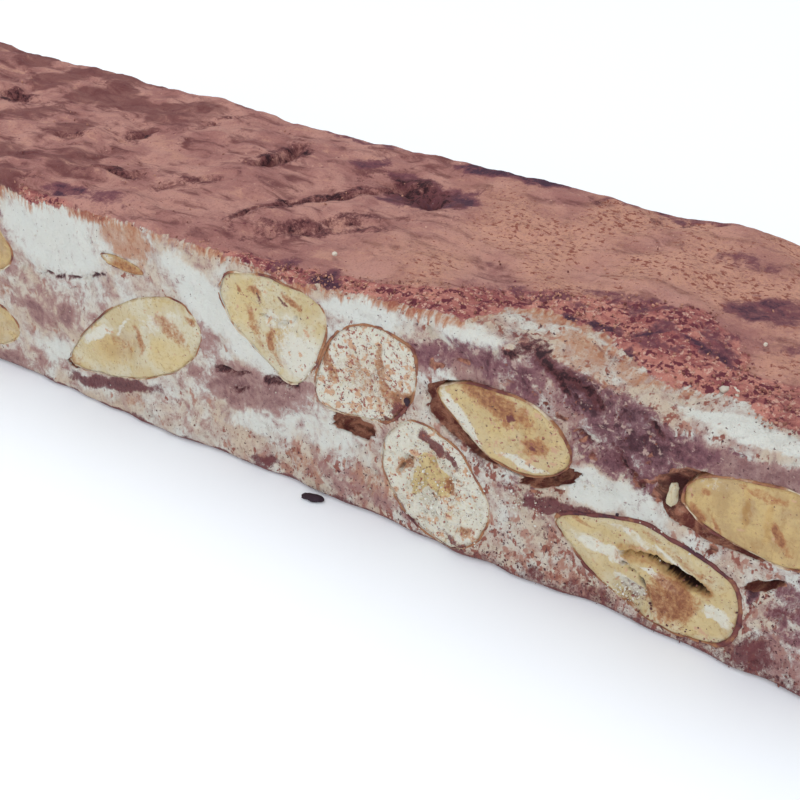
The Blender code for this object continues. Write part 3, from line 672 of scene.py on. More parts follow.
def powderMasks(piece, places, warped, inside):  # the powder and its edge
    x, y, z = places.T
    frontHalf = smooth(0.5 - y / 4)
    slid = x + 0.9 * softNoise(places, 3.5, 90)
    cream = np.where(frontHalf > 0.5, profile(creamLimit, slid), 27.2)
    whole = np.where(frontHalf > 0.5, profile(powderStart, slid), 28.6)
    climbed = z + np.maximum(inside, 0) + 0.55 * roughNoise(places * (1, 1, 0.3), 1.4, 94, 3)
    whole = np.maximum(whole, cream + 1.2)
    dust = smooth((climbed - cream + 0.3) / 1.4) * (z > 20)
    band = smooth((climbed - cream) / 0.8) * smooth((whole + 0.7 - climbed) / 1.8)
    band = band * smooth((whole - cream - 1) / 1.5)
    fringe = smooth((climbed - cream + 2.6) / 2.8) * (z > 20) * (0.75 + 0.4 * softNoise(places, 5, 89))
    # the foot: cocoa dust and painted shade along the bottom rim
    under = smooth((0.9 - z + 0.5 * softNoise(places, 2.0, 95)) / 0.8)
    reddened = smooth((x - 58) / 5) * smooth((38 - climbed) / 4) * frontHalf
    gloom = smooth((-6 - x) / 30) * smooth(0.55 + 1.6 * softNoise(warped * (1, 1.6, 1), 8.0, 105))
    gloom = np.maximum(gloom, smooth((-52 - x) / 10) * 0.7)
    gloom = np.maximum(gloom, 0.75 * reddened * (0.7 + 0.6 * softNoise(places, 4, 88)))
    addMask(piece, "dust", dust)
    addMask(piece, "fringe", fringe * (1 - 0.7 * smooth((x - 56) / 6)))
    addMask(piece, "under", under)
    addMask(piece, "grainy", np.maximum(band * frontHalf, 0.9 * reddened))
    addMask(piece, "rust", smooth((x - 8) / 20) * smooth(0.6 + softNoise(warped, 9, 101)))
    addMask(piece, "gloom", gloom)


def marblingMasks(piece, places, warped, front):  # as placed on the front, drifting at random elsewhere
    x, _, z = places.T
    elsewhere = 1 - smooth((x + 36) / 6) * smooth((76 - x) / 6) * front
    drift = roughNoise(warped * (1, 1, 2.0), 11.0, 96, 4, 0.55)
    deepDrift = roughNoise(warped * (1, 1, 1.7), 8.0, 97, 4, 0.55)
    marble = np.maximum(frontMask(places, "marble"), elsewhere * smooth((drift - 0.02) / 0.45) * 0.85)
    marble = np.maximum(marble, 0.35 * smooth(0.2 + drift))
    plum = np.maximum(frontMask(places, "plum"), elsewhere * smooth((deepDrift - 0.4) / 0.4) * 0.75)
    blots = smooth((softNoise(warped, 5, 98) - 0.5) / 0.3)
    stain = np.maximum(frontMask(places, "stain"), 0.6 * elsewhere * blots)
    lowBand = 1.7 + 1.2 * smooth((x - 30) / 20)
    nearBottom = smooth((lowBand - z + 1.1 * roughNoise(places, 2.5, 99, 2)) / 1.6) * smooth((x - 14) / 14)
    patchy = smooth((1.7 - z) / 1.2) * smooth((softNoise(places, 4.0, 102) - 0.1) / 0.3)
    white = frontMask(places, "white")
    pepper = (0.16 + 0.34 * smooth((x + 2) / 34) + 0.12 * softNoise(places, 4.0, 103)) * (1 - 0.75 * white)
    pepper += 0.25 * np.minimum(smooth((9 - z) / 5), smooth((x + 10) / 20))
    addMask(piece, "white", white)
    addMask(piece, "marble", marble * (1 - 0.8 * white))
    addMask(piece, "plum", plum)
    addMask(piece, "stain", stain)
    footDark = np.maximum(0.62 * nearBottom, 0.85 * patchy)
    addMask(piece, "maroon", np.maximum(frontMask(places, "maroon"), footDark))
    addMask(piece, "pepper", np.where(front > 0.5, pepper, 0.22))


def darkMasks(piece, places, warped, inside, front):  # bruised powder, the hollows' lining, and painted shade in creases, cracks, pits, sockets and hollows
    x, y, z = places.T
    purple = np.zeros(len(x))
    for atX, atY, halfLength, halfBreadth, turn, strength in bruises:
        reach = ovalReach(warped[:, 0], warped[:, 1], (atX, atY), halfLength, halfBreadth, turn)
        purple = np.maximum(purple, strength * smooth(1.6 - reach))
    onTop = smooth((z - 24.5) / 1.0) * smooth((inside - 1.0) / 1.5)
    # painted shade in the creases of the top
    sunk = np.zeros(len(x))
    for route, width, depth in creases:
        away, along = routeDistance(warped[:, 0], warped[:, 1], route)
        taper = np.clip(np.sin(np.pi * np.clip(along, 0.05, 0.95)), 0, 1) ** 0.5
        sunk = np.maximum(sunk, min(1, 0.45 + depth / 3) * taper * smooth(2.0 - away / (0.6 * width)))
    sunk *= 0.8 + 0.5 * softNoise(places, 1.6, 106)
    # painted shade in the cracks of the front cut
    crackShade = np.zeros(len(x))
    crackWave = 0.35 * softNoise(places, 1.1, 41)
    for route, width, _ in frontCracks:
        away, _ = routeDistance(x, z + crackWave, route)
        crackShade = np.maximum(crackShade, smooth(1.5 - away / (0.9 * width)) * front)
    crackShade *= 0.85 + 0.8 * softNoise(places, 1.3, 107)
    tall = slicePiece["height"] + topRelief(x, y)
    # painted shade: pits well below the top are darkened
    pit = smooth((tall - z - 1.4) / 1.4) * onTop
    # socket: the inner faces cut for the almonds, coloured as hollow walls with painted shade
    socket = smooth((inside - 1.1) / 0.6) * smooth((25.5 - z) / 1.5) * smooth((z - 0.4) / 0.4)
    sunkIn = (y + 18.5 + bulge("front", x, y, z)) * smooth((-y - 9) / 2)
    # painted shade inside each hollow, as strong as its shade value
    hollowed = np.zeros(len(x))
    shaded = np.zeros(len(x))
    for hollow in hollows.values():
        near = smooth((1.35 - kernelReach(x, z, hollow, 0.25)) / 0.1)
        hollowed = np.maximum(hollowed, near * smooth((sunkIn - 0.1) / 0.3))
        shaded = np.maximum(shaded, near * hollow["shade"] * smooth((sunkIn - 0.8) / 1.2))
    addMask(piece, "purple", purple)
    addMask(piece, "crease", np.maximum(sunk * onTop, crackShade))
    addMask(piece, "hollow", np.maximum(socket, hollowed))
    # deep is painted shade: pits of the top, socket walls and the insides of hollows
    addMask(piece, "deep", np.maximum(np.maximum(0.85 * pit, 0.35 * socket), shaded))


# almonds
# each: along, height, length, breadth, tilt, depth, taper, squareness, then its looks
def almond(along, height, length, breadth, tilt, depth, taper=0.0, squareness=2.0, **looks):
    return {"along": along, "height": height, "length": length, "breadth": breadth,
            "tilt": math.radians(tilt), "depth": depth, "taper": taper, "squareness": squareness,
            "face": "front", "marks": [], "chalk": 0.0, "tan": 0.2, "gold": 0.2, "pepper": 0.08,
            "rough": 0.09, "skin": 0.2, "dark": 0.15, "ragged": 0.0, "lift": 0.1, "gap": 0.03,
            "thick": [], **looks}


frontAlmonds = {
    "almond_front_left_a": almond(-73.5, 10.0, 10.5, 8.4, 20, 4.0, taper=0.2),
    "almond_front_left_b": almond(-61.5, 19.0, 17.5, 8.8, -14, 4.4, taper=0.3, tan=0.4),
    "almond_front_left_c": almond(-54.5, 6.8, 14.5, 9.2, 12, 4.2, taper=-0.2, chalk=0.4),
    "almond_front_edge_high": almond(-40.6, 18.6, 13.0, 8.6, -6, 4.2, taper=0.1, tan=0.7),
    "almond_front_edge_low": almond(-41.6, 5.9, 13.0, 6.6, 5, 3.6, tan=0.4),
    "almond_front_long": almond(
        -14.0, 11.2, 26.3, 9.5, 29, 4.8, taper=0.41, squareness=1.9, tan=0.0, pepper=0.12, skin=0.14,
        marks=[("gold", -19.4, 8.4, 4.4, 2.2, 25, 0.9), ("tan", -16.0, 10.2, 4.0, 2.2, 20, 0.5),
               ("stain", -15.4, 10.7, 2.0, 0.8, 6, 0.45), ("stain", -6.9, 15.2, 2.6, 1.3, -32, 0.7),
               ("stain", -3.5, 17.2, 0.9, 0.5, -13, 0.9), ("chalk", -8.5, 15.8, 4.4, 1.4, 30, 0.6),
               ("gold", -7.6, 11.6, 3.4, 2.6, 20, 0.9), ("stain", -24.6, 4.8, 1.6, 1.2, 30, 0.6),
               ("chalk", -14.8, 13.2, 0.3, 2.4, -40, 0.8), ("chalk", -19.6, 10.6, 3.4, 0.7, 34, 0.8),
               ("stain", -12.2, 12.4, 0.4, 2.4, 10, 0.8)]),
    "almond_front_sliver": almond(-13.7, 22.0, 6.4, 1.6, -8, 1.5, tan=0.6, skin=0.12, lift=0.0, rough=0.16,
                                  marks=[("stain", -12.4, 21.6, 3.4, 0.8, -8, 0.9),
                                         ("chalk", -15.4, 22.4, 1.4, 0.4, -8, 0.6)]),
    "almond_front_split": almond(
        8.4, 21.2, 14.4, 11.0, -20, 4.8, taper=0.42, squareness=2.9, tan=0.0, gold=0.3, pepper=0.3,
        rough=0.16,
        marks=[("stain", 6.6, 24.2, 0.8, 0.6, -21, 0.9), ("stain", 8.5, 18.7, 1.8, 0.5, -83, 0.9),
               ("stain", 11.6, 24.4, 1.6, 0.5, -30, 0.9), ("stain", 6.0, 19.6, 2.8, 0.6, -70, 0.6),
               ("stain", 9.6, 16.4, 1.4, 0.8, -20, 0.5), ("stain", 4.4, 24.0, 0.5, 0.5, 0, 1.0),
               ("maroon", 10.6, 24.0, 1.0, 0.3, -30, 0.7), ("maroon", 7.0, 23.2, 0.4, 0.8, 0, 0.6),
               ("chalk", 13.0, 17.6, 3.8, 3.6, 0, 0.85), ("chalk", 9.6, 21.4, 3.6, 1.2, 10, 0.7),
               ("gold", 4.6, 22.0, 2.4, 3.4, 0, 0.9), ("tan", 10.0, 19.6, 1.2, 2.4, -20, 0.6)],
        splits=[[(6.9, 21.2), (8.6, 21.0), (10.4, 21.3), (12.2, 22.4)]], splitDepth=0.3),
    "almond_front_leaning": almond(
        21.3, 18.2, 16.2, 11.2, 40, 5.0, taper=0.1, squareness=1.55, chalk=0.75, pepper=0.72, rough=0.26,
        skin=0.3, dark=0.3, tan=0.1, thick=[(20, 60, 1.0), (110, 30, 0.8)],
        marks=[("chalk", 25.4, 20.6, 2.0, 3.2, 10, 1.0), ("chalk", 21.0, 13.6, 3.4, 1.2, 0, 1.0),
               ("chalk", 18.6, 22.4, 3.0, 1.6, -20, 0.9), ("stain", 23.7, 19.0, 0.6, 3.8, 8, 0.8),
               ("stain", 21.2, 18.4, 2.6, 3.2, 10, 0.45), ("maroon", 26.6, 15.2, 1.6, 1.3, 0, 0.9),
               ("maroon", 24.6, 13.4, 0.8, 0.6, 0, 1.0), ("stain", 26.2, 16.6, 1.8, 1.4, 0, 1.0),
               ("stain", 15.9, 19.6, 0.8, 3.6, 20, 1.0)]),
    "almond_front_chalky": almond(
        30.6, 7.6, 15.2, 12.0, 135, 5.0, taper=0.06, squareness=2.2, chalk=0.75, gold=0.0, pepper=0.55,
        rough=0.34, tan=0.0, skin=0.18, dark=0.2,
        marks=[("gold", 30.4, 8.6, 3.2, 1.7, -40, 1.3), ("gold", 28.6, 7.2, 1.4, 2.2, -30, 1.2),
               ("stain", 26.8, 8.6, 1.4, 0.7, 40, 0.9), ("stain", 32.6, 8.0, 1.0, 0.5, -50, 0.9),
               ("stain", 35.0, 3.6, 0.9, 0.6, 0, 1.0), ("maroon", 30.2, 12.8, 2.0, 0.9, -30, 1.1),
               ("maroon", 32.6, 11.6, 1.4, 0.5, -40, 0.8), ("maroon", 34.4, 1.6, 2.4, 0.6, -20, 0.7)],
        hides=[(28.6, 7.4, 3.0, 2.1, -43), (31.4, 9.6, 2.6, 1.0, -50)],
        splits=[[(26.9, 10.3), (27.1, 9.3), (26.2, 8.4), (26.0, 7.4)]]),
    "almond_front_loose": almond(
        38.8, 18.3, 15.8, 8.5, -13, 4.2, taper=0.27, squareness=1.8, tan=0.25, gold=0.8, pepper=0.45,
        lift=0.35, skin=0.08, dark=0.25, rough=0.14,
        marks=[("stain", 37.4, 21.2, 5.0, 1.6, -17, 0.95), ("stain", 39.4, 20.0, 0.8, 1.6, -10, 1.0),
               ("maroon", 39.8, 19.4, 0.5, 0.5, 0, 1.1), ("stain", 42.8, 17.4, 1.4, 1.2, 40, 1.0),
               ("maroon", 42.6, 17.0, 0.5, 0.3, 0, 0.7), ("chalk", 34.4, 17.0, 5.0, 0.8, -50, 0.95),
               ("chalk", 41.4, 14.9, 3.2, 0.6, -10, 0.9), ("tan", 42.0, 19.4, 3.6, 1.6, -20, 0.5)]),
    "almond_front_hollow": almond(
        55.5, 6.9, 21.0, 10.0, -10, 4.8, taper=0.33, tan=0.1, gold=0.5, pepper=0.2, skin=0.45, dark=0.5,
        gap=0.1, thick=[(75, 85, 1.0), (0, 40, 0.9)], rough=0.16,
        marks=[("stain", 58.8, 4.6, 2.6, 2.6, -37, 1.15), ("chalk", 50.6, 7.4, 3.4, 0.8, -10, 0.95),
               ("gold", 48.6, 9.6, 2.6, 1.0, 0, 1.0), ("stain", 48.0, 10.0, 1.4, 0.3, -20, 0.7),
               ("stain", 58.6, 9.9, 5.4, 0.5, -20, 0.5), ("chalk", 63.6, 5.0, 1.6, 1.2, 0, 0.8),
               ("gold", 62.6, 3.4, 2.6, 1.4, 20, 1.1), ("chalk", 54.0, 10.0, 3.4, 0.6, -16, 0.6),
               ("chalk", 54.0, 4.4, 2.0, 0.9, -25, 0.9), ("maroon", 54.6, 3.6, 2.2, 1.2, -25, 0.45),
               ("stain", 56.4, 4.6, 0.6, 1.6, -10, 0.9), ("chalk", 57.4, 6.4, 2.6, 0.35, -16, 0.9),
               ("chalk", 58.6, 9.0, 2.6, 0.3, -24, 0.8)],
        hides=[(54.6, 3.4, 2.4, 1.4, -25)],
        splits=[[(53.0, 6.6), (54.2, 6.4), (55.4, 5.4), (56.0, 4.2)]]),
    "almond_front_smooth": almond(
        65.6, 17.8, 14.6, 8.0, 2, 4.2, taper=0.2, squareness=2.5, tan=0.65, gold=0.8, pepper=0.12,
        rough=0.05, dark=0.2,
        marks=[("stain", 60.5, 18.7, 0.6, 0.4, -3, 0.9), ("stain", 59.9, 15.7, 1.1, 0.8, -26, 1.0),
               ("stain", 62.0, 15.1, 1.2, 0.25, -65, 0.8), ("stain", 68.1, 16.9, 1.6, 0.5, -58, 1.1),
               ("stain", 66.0, 20.8, 2.4, 0.5, 0, 0.7), ("chalk", 61.0, 20.0, 2.0, 1.0, 0, 0.4),
               ("tan", 64.6, 18.6, 0.5, 3.0, 0, 1.0), ("tan", 66.8, 18.0, 0.6, 3.4, 0, 1.0)]),
    "almond_front_right": almond(75.3, 7.0, 6.6, 7.6, 8, 3.4, tan=0.5),
}
kernelDraws = {"seed": 23, "lengths": (13.0, 19.0), "ends": (10.5, 13.0), "breadth": (8.0, 10.5),
               "tilt": (-40.0, 40.0), "back": 8, "end": 2}
# shade: how strongly the inside of each hollow is darkened with painted shade
hollows = {
    "below_leaning": almond(19.6, 10.9, 5.6, 3.2, 0, 2.6, squareness=2.4, ragged=0.2, shade=0.1),
    "round_loose": almond(37.5, 17.7, 17.4, 9.2, -8, 3.4, taper=0.19, ragged=0.05, shade=0.45),
    "below_loose": almond(44.3, 13.8, 7.2, 2.3, 28, 2.0, taper=0.2, ragged=0.22, shade=0.0),
    "round_smooth": almond(62.9, 17.1, 14.9, 8.6, -3, 1.8, taper=0.0, ragged=0.07, shade=0.35),
    "tear_right": almond(67.4, 10.6, 4.6, 1.2, 32, 2.2, ragged=0.2, shade=0.3),
    "tear_below_long": almond(-24.0, 5.0, 5.0, 1.4, 16, 1.6, ragged=0.25, shade=0.3),
}
# the route of the gap in almond_front_hollow: x, z
gapRoute = [(52.6, 7.6), (54.8, 8.5), (56.4, 8.5), (57.9, 7.9), (59.2, 7.7), (60.5, 7.4), (62.0, 7.2)]
# each cut face: its middle, the way along it and the way in
faces = {
    "front": (Vector((0, -18.5, 0)), Vector((1, 0, 0)), Vector((0, 1, 0))),
    "back": (Vector((0, 18.5, 0)), Vector((-1, 0, 0)), Vector((0, -1, 0))),
    "left": (Vector((-80, 0, 0)), Vector((0, -1, 0)), Vector((1, 0, 0))),
    "right": (Vector((80, 0, 0)), Vector((0, 1, 0)), Vector((-1, 0, 0))),
}


def allAlmonds():
    found = dict(frontAlmonds)
    draw = random.Random(kernelDraws["seed"])
    for face, count, lengths in (("back", kernelDraws["back"], kernelDraws["lengths"]),
                                 ("left", kernelDraws["end"], kernelDraws["ends"]),
                                 ("right", kernelDraws["end"], kernelDraws["ends"])):
        run = slicePiece["length"] if face == "back" else slicePiece["width"]
        for index in range(count):
            along = ((index + 0.5) / count - 0.5) * run + draw.uniform(-1.5, 1.5)
            height = (8.3 if index % 2 else 18.8) + draw.uniform(-0.8, 0.8)
            length = draw.uniform(*lengths)
            breadth = draw.uniform(*kernelDraws["breadth"])
            tilt = draw.uniform(*kernelDraws["tilt"]) * (0.5 if face != "back" else 1.0)
            depth = draw.uniform(3.8, 4.6)
            taper = draw.uniform(-0.35, 0.35)
            squareness = draw.uniform(1.9, 2.4)
            found[f"almond_{face}_{index + 1}"] = almond(along, height, length, breadth, tilt, depth,
                                                         taper, squareness, face=face)
    return found


def bulge(face, x, y, z):  # how far a cut stands out from its flat plane
    if face == "front":
        return cutRelief(x, z, 3) + footSpread(x, z)
    if face == "back":
        return cutRelief(x, z, 5) + slicePiece["leftSpread"] * leftShare(x) * z / slicePiece["height"]
    return cutRelief(y, z, 7 if face == "left" else 9)


def onFace(face, along, inwards, up):  # from a cut face's own measures to x, y, z
    middle, way, into = faces[face]
    places = (np.array(middle)[None] + np.outer(along, way) + np.outer(inwards, into)
              + np.outer(up, (0, 0, 1)))
    return places - np.outer(bulge(face, *places.T), into)


def outlineAt(kernel, angle, grow=0.0):
    ring = np.stack([np.cos(angle), np.sin(angle), np.zeros(len(angle))], axis=1)
    squared = np.sign(ring) * np.abs(ring) ** (2 / kernel["squareness"])
    u = (kernel["length"] / 2 + grow) * squared[:, 0]
    v = (kernel["breadth"] / 2 + grow) * squared[:, 1]
    v = v * (1 + kernel["taper"] * u / (kernel["length"] / 2 + grow))
    seed = int(abs(kernel["along"]) * 7 + kernel["height"] * 3)
    wobble = 1 + 0.035 * softNoise(ring, 0.7, seed) + 0.012 * softNoise(ring, 0.22, seed + 1)
    wobble += kernel["ragged"] * roughNoise(ring, 0.6, seed + 5, 3, 0.7)
    c, s = math.cos(kernel["tilt"]), math.sin(kernel["tilt"])
    return wobble * (u * c - v * s), wobble * (u * s + v * c)


def kernelBlank(name, segments=96, rings=44):
    bpy.ops.mesh.primitive_uv_sphere_add(segments=segments, ring_count=rings, radius=1)
    return newPiece(name)


def shapeKernel(piece, kernel, grow=0.0, proud=0.0):
    # the sphere's upper half is pressed flat onto the cut face, the lower half is the body behind it
    ball = readPoints(piece) * mm
    polar = np.arccos(np.clip(ball[:, 2], -1, 1)) / (math.pi / 2)
    angle = np.arctan2(ball[:, 1], ball[:, 0])
    u, v = outlineAt(kernel, angle, grow)
    onCut = np.minimum(polar, 1)
    behind = np.clip(polar - 1, 0, 1)
    width = np.where(polar <= 1, onCut, np.cos(behind * math.pi / 2) ** 0.65)
    inwards = (kernel["depth"] + grow) * np.sin(behind * math.pi / 2) - proud * (polar <= 1.0001)
    return kernel["along"] + u * width, inwards, kernel["height"] + v * width, onCut, behind


def openGap(flat, cutFace, marks):  # the gap between the hollow almond's halves: its depth, its marks and the painted shade in it
    wave = 0.3 * softNoise(flat, 1.0, 5) + 0.12 * softNoise(flat, 0.4, 6)
    away, share = routeDistance(flat[:, 0], flat[:, 1] + wave, gapRoute)
    opened = 0.16 + 0.5 * smooth((share - 0.15) / 0.7) * np.sqrt(np.clip((1.02 - share) / 0.2, 0, 1))
    gap = smooth(1.5 - away / np.maximum(opened, 0.1)) * cutFace
    # painted shade deep in the gap
    marks["deep"] = np.maximum(marks["deep"], smooth((gap - 0.06) / 0.3) * smooth((share - 0.1) / 0.3))
    marks["tan"] = np.maximum(marks["tan"], 0.8 * smooth(2.4 - away / 0.5))
    marks["stain"] = np.maximum(marks["stain"], 0.35 * smooth(2.2 - away / 0.5))
    return (1.0 + 2.2 * smooth((share - 0.2) / 0.3)) * gap


def makeKernel(name, kernel):
    piece = kernelBlank("kernel_" + name, *((160, 88) if kernel["face"] == "front" else (88, 52)))
    along, inwards, up, onCut, behind = shapeKernel(piece, kernel)
    flat = np.stack([along, up, np.zeros(len(up))], axis=1)
    cutFace = behind <= 0
    seed = int(abs(kernel["along"]) * 11)
    relief = kernel["rough"] * roughNoise(flat, 1.6, seed, 4, 0.65) * (1 - onCut ** 8 * 0.5)
    split = np.zeros(len(up))
    for route in kernel.get("splits", []):
        away, _ = routeDistance(along, up + 0.3 * softNoise(flat, 0.9, seed + 7), route)
        split = np.maximum(split, smooth(1.4 - away / 0.22) * smooth(0.75 + softNoise(flat, 0.9, seed + 9)))
    hide = np.zeros(len(up))  # crumbled away
    for atX, atZ, halfLength, halfBreadth, tilt in kernel.get("hides", []):
        wobble = 0.35 * softNoise(flat, 1.0, seed + 8)
        reach = ovalReach(along + wobble, up, (atX, atZ), halfLength, halfBreadth, tilt)
        hide = np.maximum(hide, smooth((1.15 - reach) / 0.3))
    depth = kernel.get("splitDepth", 0.6)
    relief = relief - depth * split - 0.5 * hide
    rounding = 0.25 * np.clip((onCut - 0.9) / 0.1, 0, 1) ** 2
    inwards = np.where(cutFace, -kernel["lift"] + rounding - relief, inwards)
    marks = {"stain": np.zeros(len(up)), "maroon": np.zeros(len(up))}
    for kind in ("chalk", "tan", "gold"):
        marks[kind] = np.full(len(up), kernel[kind])
    warp = 0.35 * roughNoise(flat, 1.5, seed + 3, 3)
    for kind, atX, atZ, halfLength, halfBreadth, tilt, strength in kernel["marks"]:
        reach = ovalReach(along + warp, up - warp, (atX, atZ), halfLength, halfBreadth, tilt)
        marks[kind] = np.maximum(marks[kind], strength * smooth(1.5 - reach))
    marks["chalk"] = marks["chalk"] * (1 - 0.85 * smooth((marks["gold"] - 0.85) / 0.15))
    # painted shade in the splits
    marks["deep"] = min(0.8, 1.1 * depth) * split * cutFace
    if name == "almond_front_hollow":
        inwards = inwards + openGap(flat, cutFace, marks)
    writePoints(piece, onFace(kernel["face"], along, inwards, up))
    for kind, values in marks.items():
        addMask(piece, kind, values)
    addMask(piece, "pepper", np.full(len(up), kernel["pepper"]))
    addMask(piece, "rim", np.where(cutFace, np.clip((onCut - 0.94) / 0.06, 0, 1), 1.0))
    faceOutwards(piece)
    finishPiece(piece, "almond", almondLook, name)


def makeCutter(name, kernel, grow):
    piece = kernelBlank("cutter_" + name, 64, 16)
    along, inwards, up = shapeKernel(piece, kernel, grow, 3.0)[:3]
    writePoints(piece, onFace(kernel["face"], along, inwards, up))
    faceOutwards(piece)
    return piece


def cutSockets(piece, kernels):
    box = bpy.data.collections.new("cutters")
    bpy.context.scene.collection.children.link(box)
    tools = [makeCutter(name, kernel, kernel["gap"]) for name, kernel in kernels.items()]
    tools += [makeCutter(name, kernel, 0.0) for name, kernel in hollows.items()]
    for tool in tools:
        for home in list(tool.users_collection):
            home.objects.unlink(tool)
        box.objects.link(tool)
    makeActive(piece)
    cut = piece.modifiers.new("sockets", "BOOLEAN")
    cut.operation = "DIFFERENCE"
    cut.solver = "MANIFOLD"
    cut.operand_type = "COLLECTION"
    cut.collection = box
    bpy.ops.object.modifier_apply(modifier="sockets")
    for tool in tools:
        bpy.data.objects.remove(tool)
    bpy.data.collections.remove(box)


def makeSkins(kernels):  # the thin skin round each cut almond: a closed band with a ragged, uneven edge
    stations = 220
    vertices = []
    shades = []
    quads = []
    for kernel in kernels.values():
        angle = np.arange(stations) * 2 * math.pi / stations
        ring = np.stack([np.cos(angle), np.sin(angle), np.zeros(stations)], axis=1)
        seed = int(abs(kernel["along"]) * 5 + 3)
        patchy = smooth(0.5 + 1.5 * softNoise(ring, 0.75, seed))
        for toward, width, strength in kernel["thick"]:  # thicker stretches, by direction in degrees
            swing = np.abs((np.degrees(angle) - toward + 180) % 360 - 180)
            patchy = np.maximum(patchy, strength * smooth(1.4 - swing / width))
        thick = 0.02 + kernel["skin"] * patchy * (1 + 0.45 * softNoise(ring, 0.12, seed + 1))
        front = -kernel["lift"] + 0.06 - 0.1 * patchy - 0.1 * softNoise(ring, 0.12, seed + 2)
        start = len(vertices) * 4 * stations
        corners = []
        back = front + 1.6
        for out, inward in ((-0.03, front), (thick, front + 0.05), (thick, back), (-0.03, back)):
            u, v = outlineAt(kernel, angle)
            length = np.hypot(u, v)
            u, v = u * (1 + out / length), v * (1 + out / length)
            corners.append(onFace(kernel["face"], kernel["along"] + u, inward, kernel["height"] + v))
        vertices.append(np.concatenate(corners))
        shade = kernel["dark"] + 0.5 * patchy - 0.2 + 0.35 * softNoise(ring, 0.5, seed + 4)
        shades.append(np.tile(shade, 4))
        for side in range(4):
            other = (side + 1) % 4
            for step in range(stations):
                after = (step + 1) % stations
                quads.append((start + side * stations + step, start + other * stations + step,
                              start + other * stations + after, start + side * stations + after))
    piece = meshPiece("almond_skins", np.concatenate(vertices), quads)
    addMask(piece, "shade", np.concatenate(shades))
    finishPiece(piece, "almond_skin", skinLook)


def meshPiece(name, places, faceList):
    mesh = bpy.data.meshes.new(name)
    mesh.from_pydata([tuple(p * mm) for p in places], [], faceList)
    piece = bpy.data.objects.new(name, mesh)
    bpy.context.scene.collection.objects.link(piece)
    faceOutwards(piece)
    return piece


# crumbs and grains, each kind one joined piece
# clusters on the front cut: x, z, spread along and up, count, smallest and largest
creamCrumbs = [(30.6, 5.0, 4.5, 3.0, 240, 0.12, 0.42), (33.5, 9.5, 2.6, 3.0, 90, 0.1, 0.35),
               (27.0, 10.5, 2.4, 2.0, 70, 0.1, 0.3), (40.5, 9.0, 4.0, 3.0, 150, 0.08, 0.3),
               (47.6, 14.6, 3.0, 1.3, 90, 0.1, 0.35), (53.6, 3.4, 1.8, 0.9, 90, 0.1, 0.3),
               (60.0, 12.2, 5.0, 1.6, 90, 0.08, 0.3), (21.5, 13.4, 3.0, 0.9, 60, 0.1, 0.3),
               (14.5, 17.0, 1.5, 2.0, 50, 0.1, 0.3),
               (21.0, 19.0, 3.6, 4.2, 160, 0.08, 0.25), (0.0, 14.0, 75.0, 12.0, 420, 0.08, 0.24)]
plumCrumbs = [(35.0, 13.6, 3.0, 1.0, 60, 0.08, 0.25), (45.0, 11.2, 4.0, 0.9, 70, 0.08, 0.28),
              (48.0, 23.0, 7.0, 4.0, 220, 0.08, 0.3), (25.6, 15.4, 1.4, 1.2, 50, 0.08, 0.25),
              (52.0, 1.8, 24.0, 1.2, 320, 0.1, 0.34), (8.0, 2.6, 16.0, 1.4, 120, 0.08, 0.25),
              (62.0, 8.0, 6.0, 4.0, 80, 0.08, 0.25), (21.0, 18.4, 3.4, 4.0, 130, 0.06, 0.18),
              (31.0, 6.0, 4.4, 5.0, 160, 0.06, 0.18), (69.0, 8.0, 4.0, 6.0, 120, 0.08, 0.3),
              (0.0, 14.0, 75.0, 12.0, 260, 0.06, 0.16)]


def ballTemplate():
    bpy.ops.mesh.primitive_ico_sphere_add(subdivisions=1, radius=1)
    piece = newPiece("crumb_pattern")
    points = readPoints(piece) * mm
    facets = [tuple(face.vertices) for face in piece.data.polygons]
    bpy.data.objects.remove(piece)
    return points, facets


def lumps(spots, sizes, seed):  # small angular bits at these places, joined
    points, facets = ballTemplate()
    rng = np.random.default_rng(seed)
    every = []
    faceList = []
    for index, (spot, size) in enumerate(zip(spots, sizes)):
        stretch = rng.uniform(0.6, 1.25, 3) * size / 2
        uneven = 1 + rng.uniform(-0.28, 0.28, len(points))
        axis = rng.normal(size=3)
        turn = np.array(Matrix.Rotation(rng.uniform(0, 6.28), 3, Vector(axis / np.linalg.norm(axis))))
        every.append((points * uneven[:, None] * stretch) @ turn.T + spot)
        faceList += [tuple(corner + index * len(points) for corner in facet) for facet in facets]
    return np.concatenate(every), faceList, len(points)


def makeCrumbs(name, clusters, look, slotName, seed):
    rng = np.random.default_rng(seed)
    xs, zs, sizes = [], [], []
    for atX, atZ, spreadX, spreadZ, count, small, large in clusters:
        xs.append(np.clip(atX + spreadX * np.clip(rng.normal(size=count) * 0.6, -1.3, 1.3), -79, 79))
        zs.append(atZ + spreadZ * np.clip(rng.normal(size=count) * 0.6, -1.2, 1.2))
        sizes.append(small + (large - small) * rng.random(count) ** 2.2)
    x, z, size = (np.concatenate(part) for part in (xs, zs, sizes))
    keep = (z > 0.3) & (z < 26.5)
    x, z, size = x[keep], z[keep], size[keep]
    keep = np.ones(len(x), bool)
    for hollow in hollows.values():
        keep &= kernelReach(x, z, hollow) > 1.15
    for route, width, _ in frontCracks:
        keep &= routeDistance(x, z, route)[0] > 1.3 * width
    x, z, size = x[keep], z[keep], size[keep]
    y = -18.5 - bulge("front", x, 0 * x, z) - 0.02 - 0.05 * size
    spots = np.stack([x, y, z], axis=1)
    places, faceList, each = lumps(spots, size, seed)
    piece = meshPiece(name, places, faceList)
    addMask(piece, "shade", np.repeat(rng.random(len(spots)), each))
    finishPiece(piece, slotName, look, angular=True)


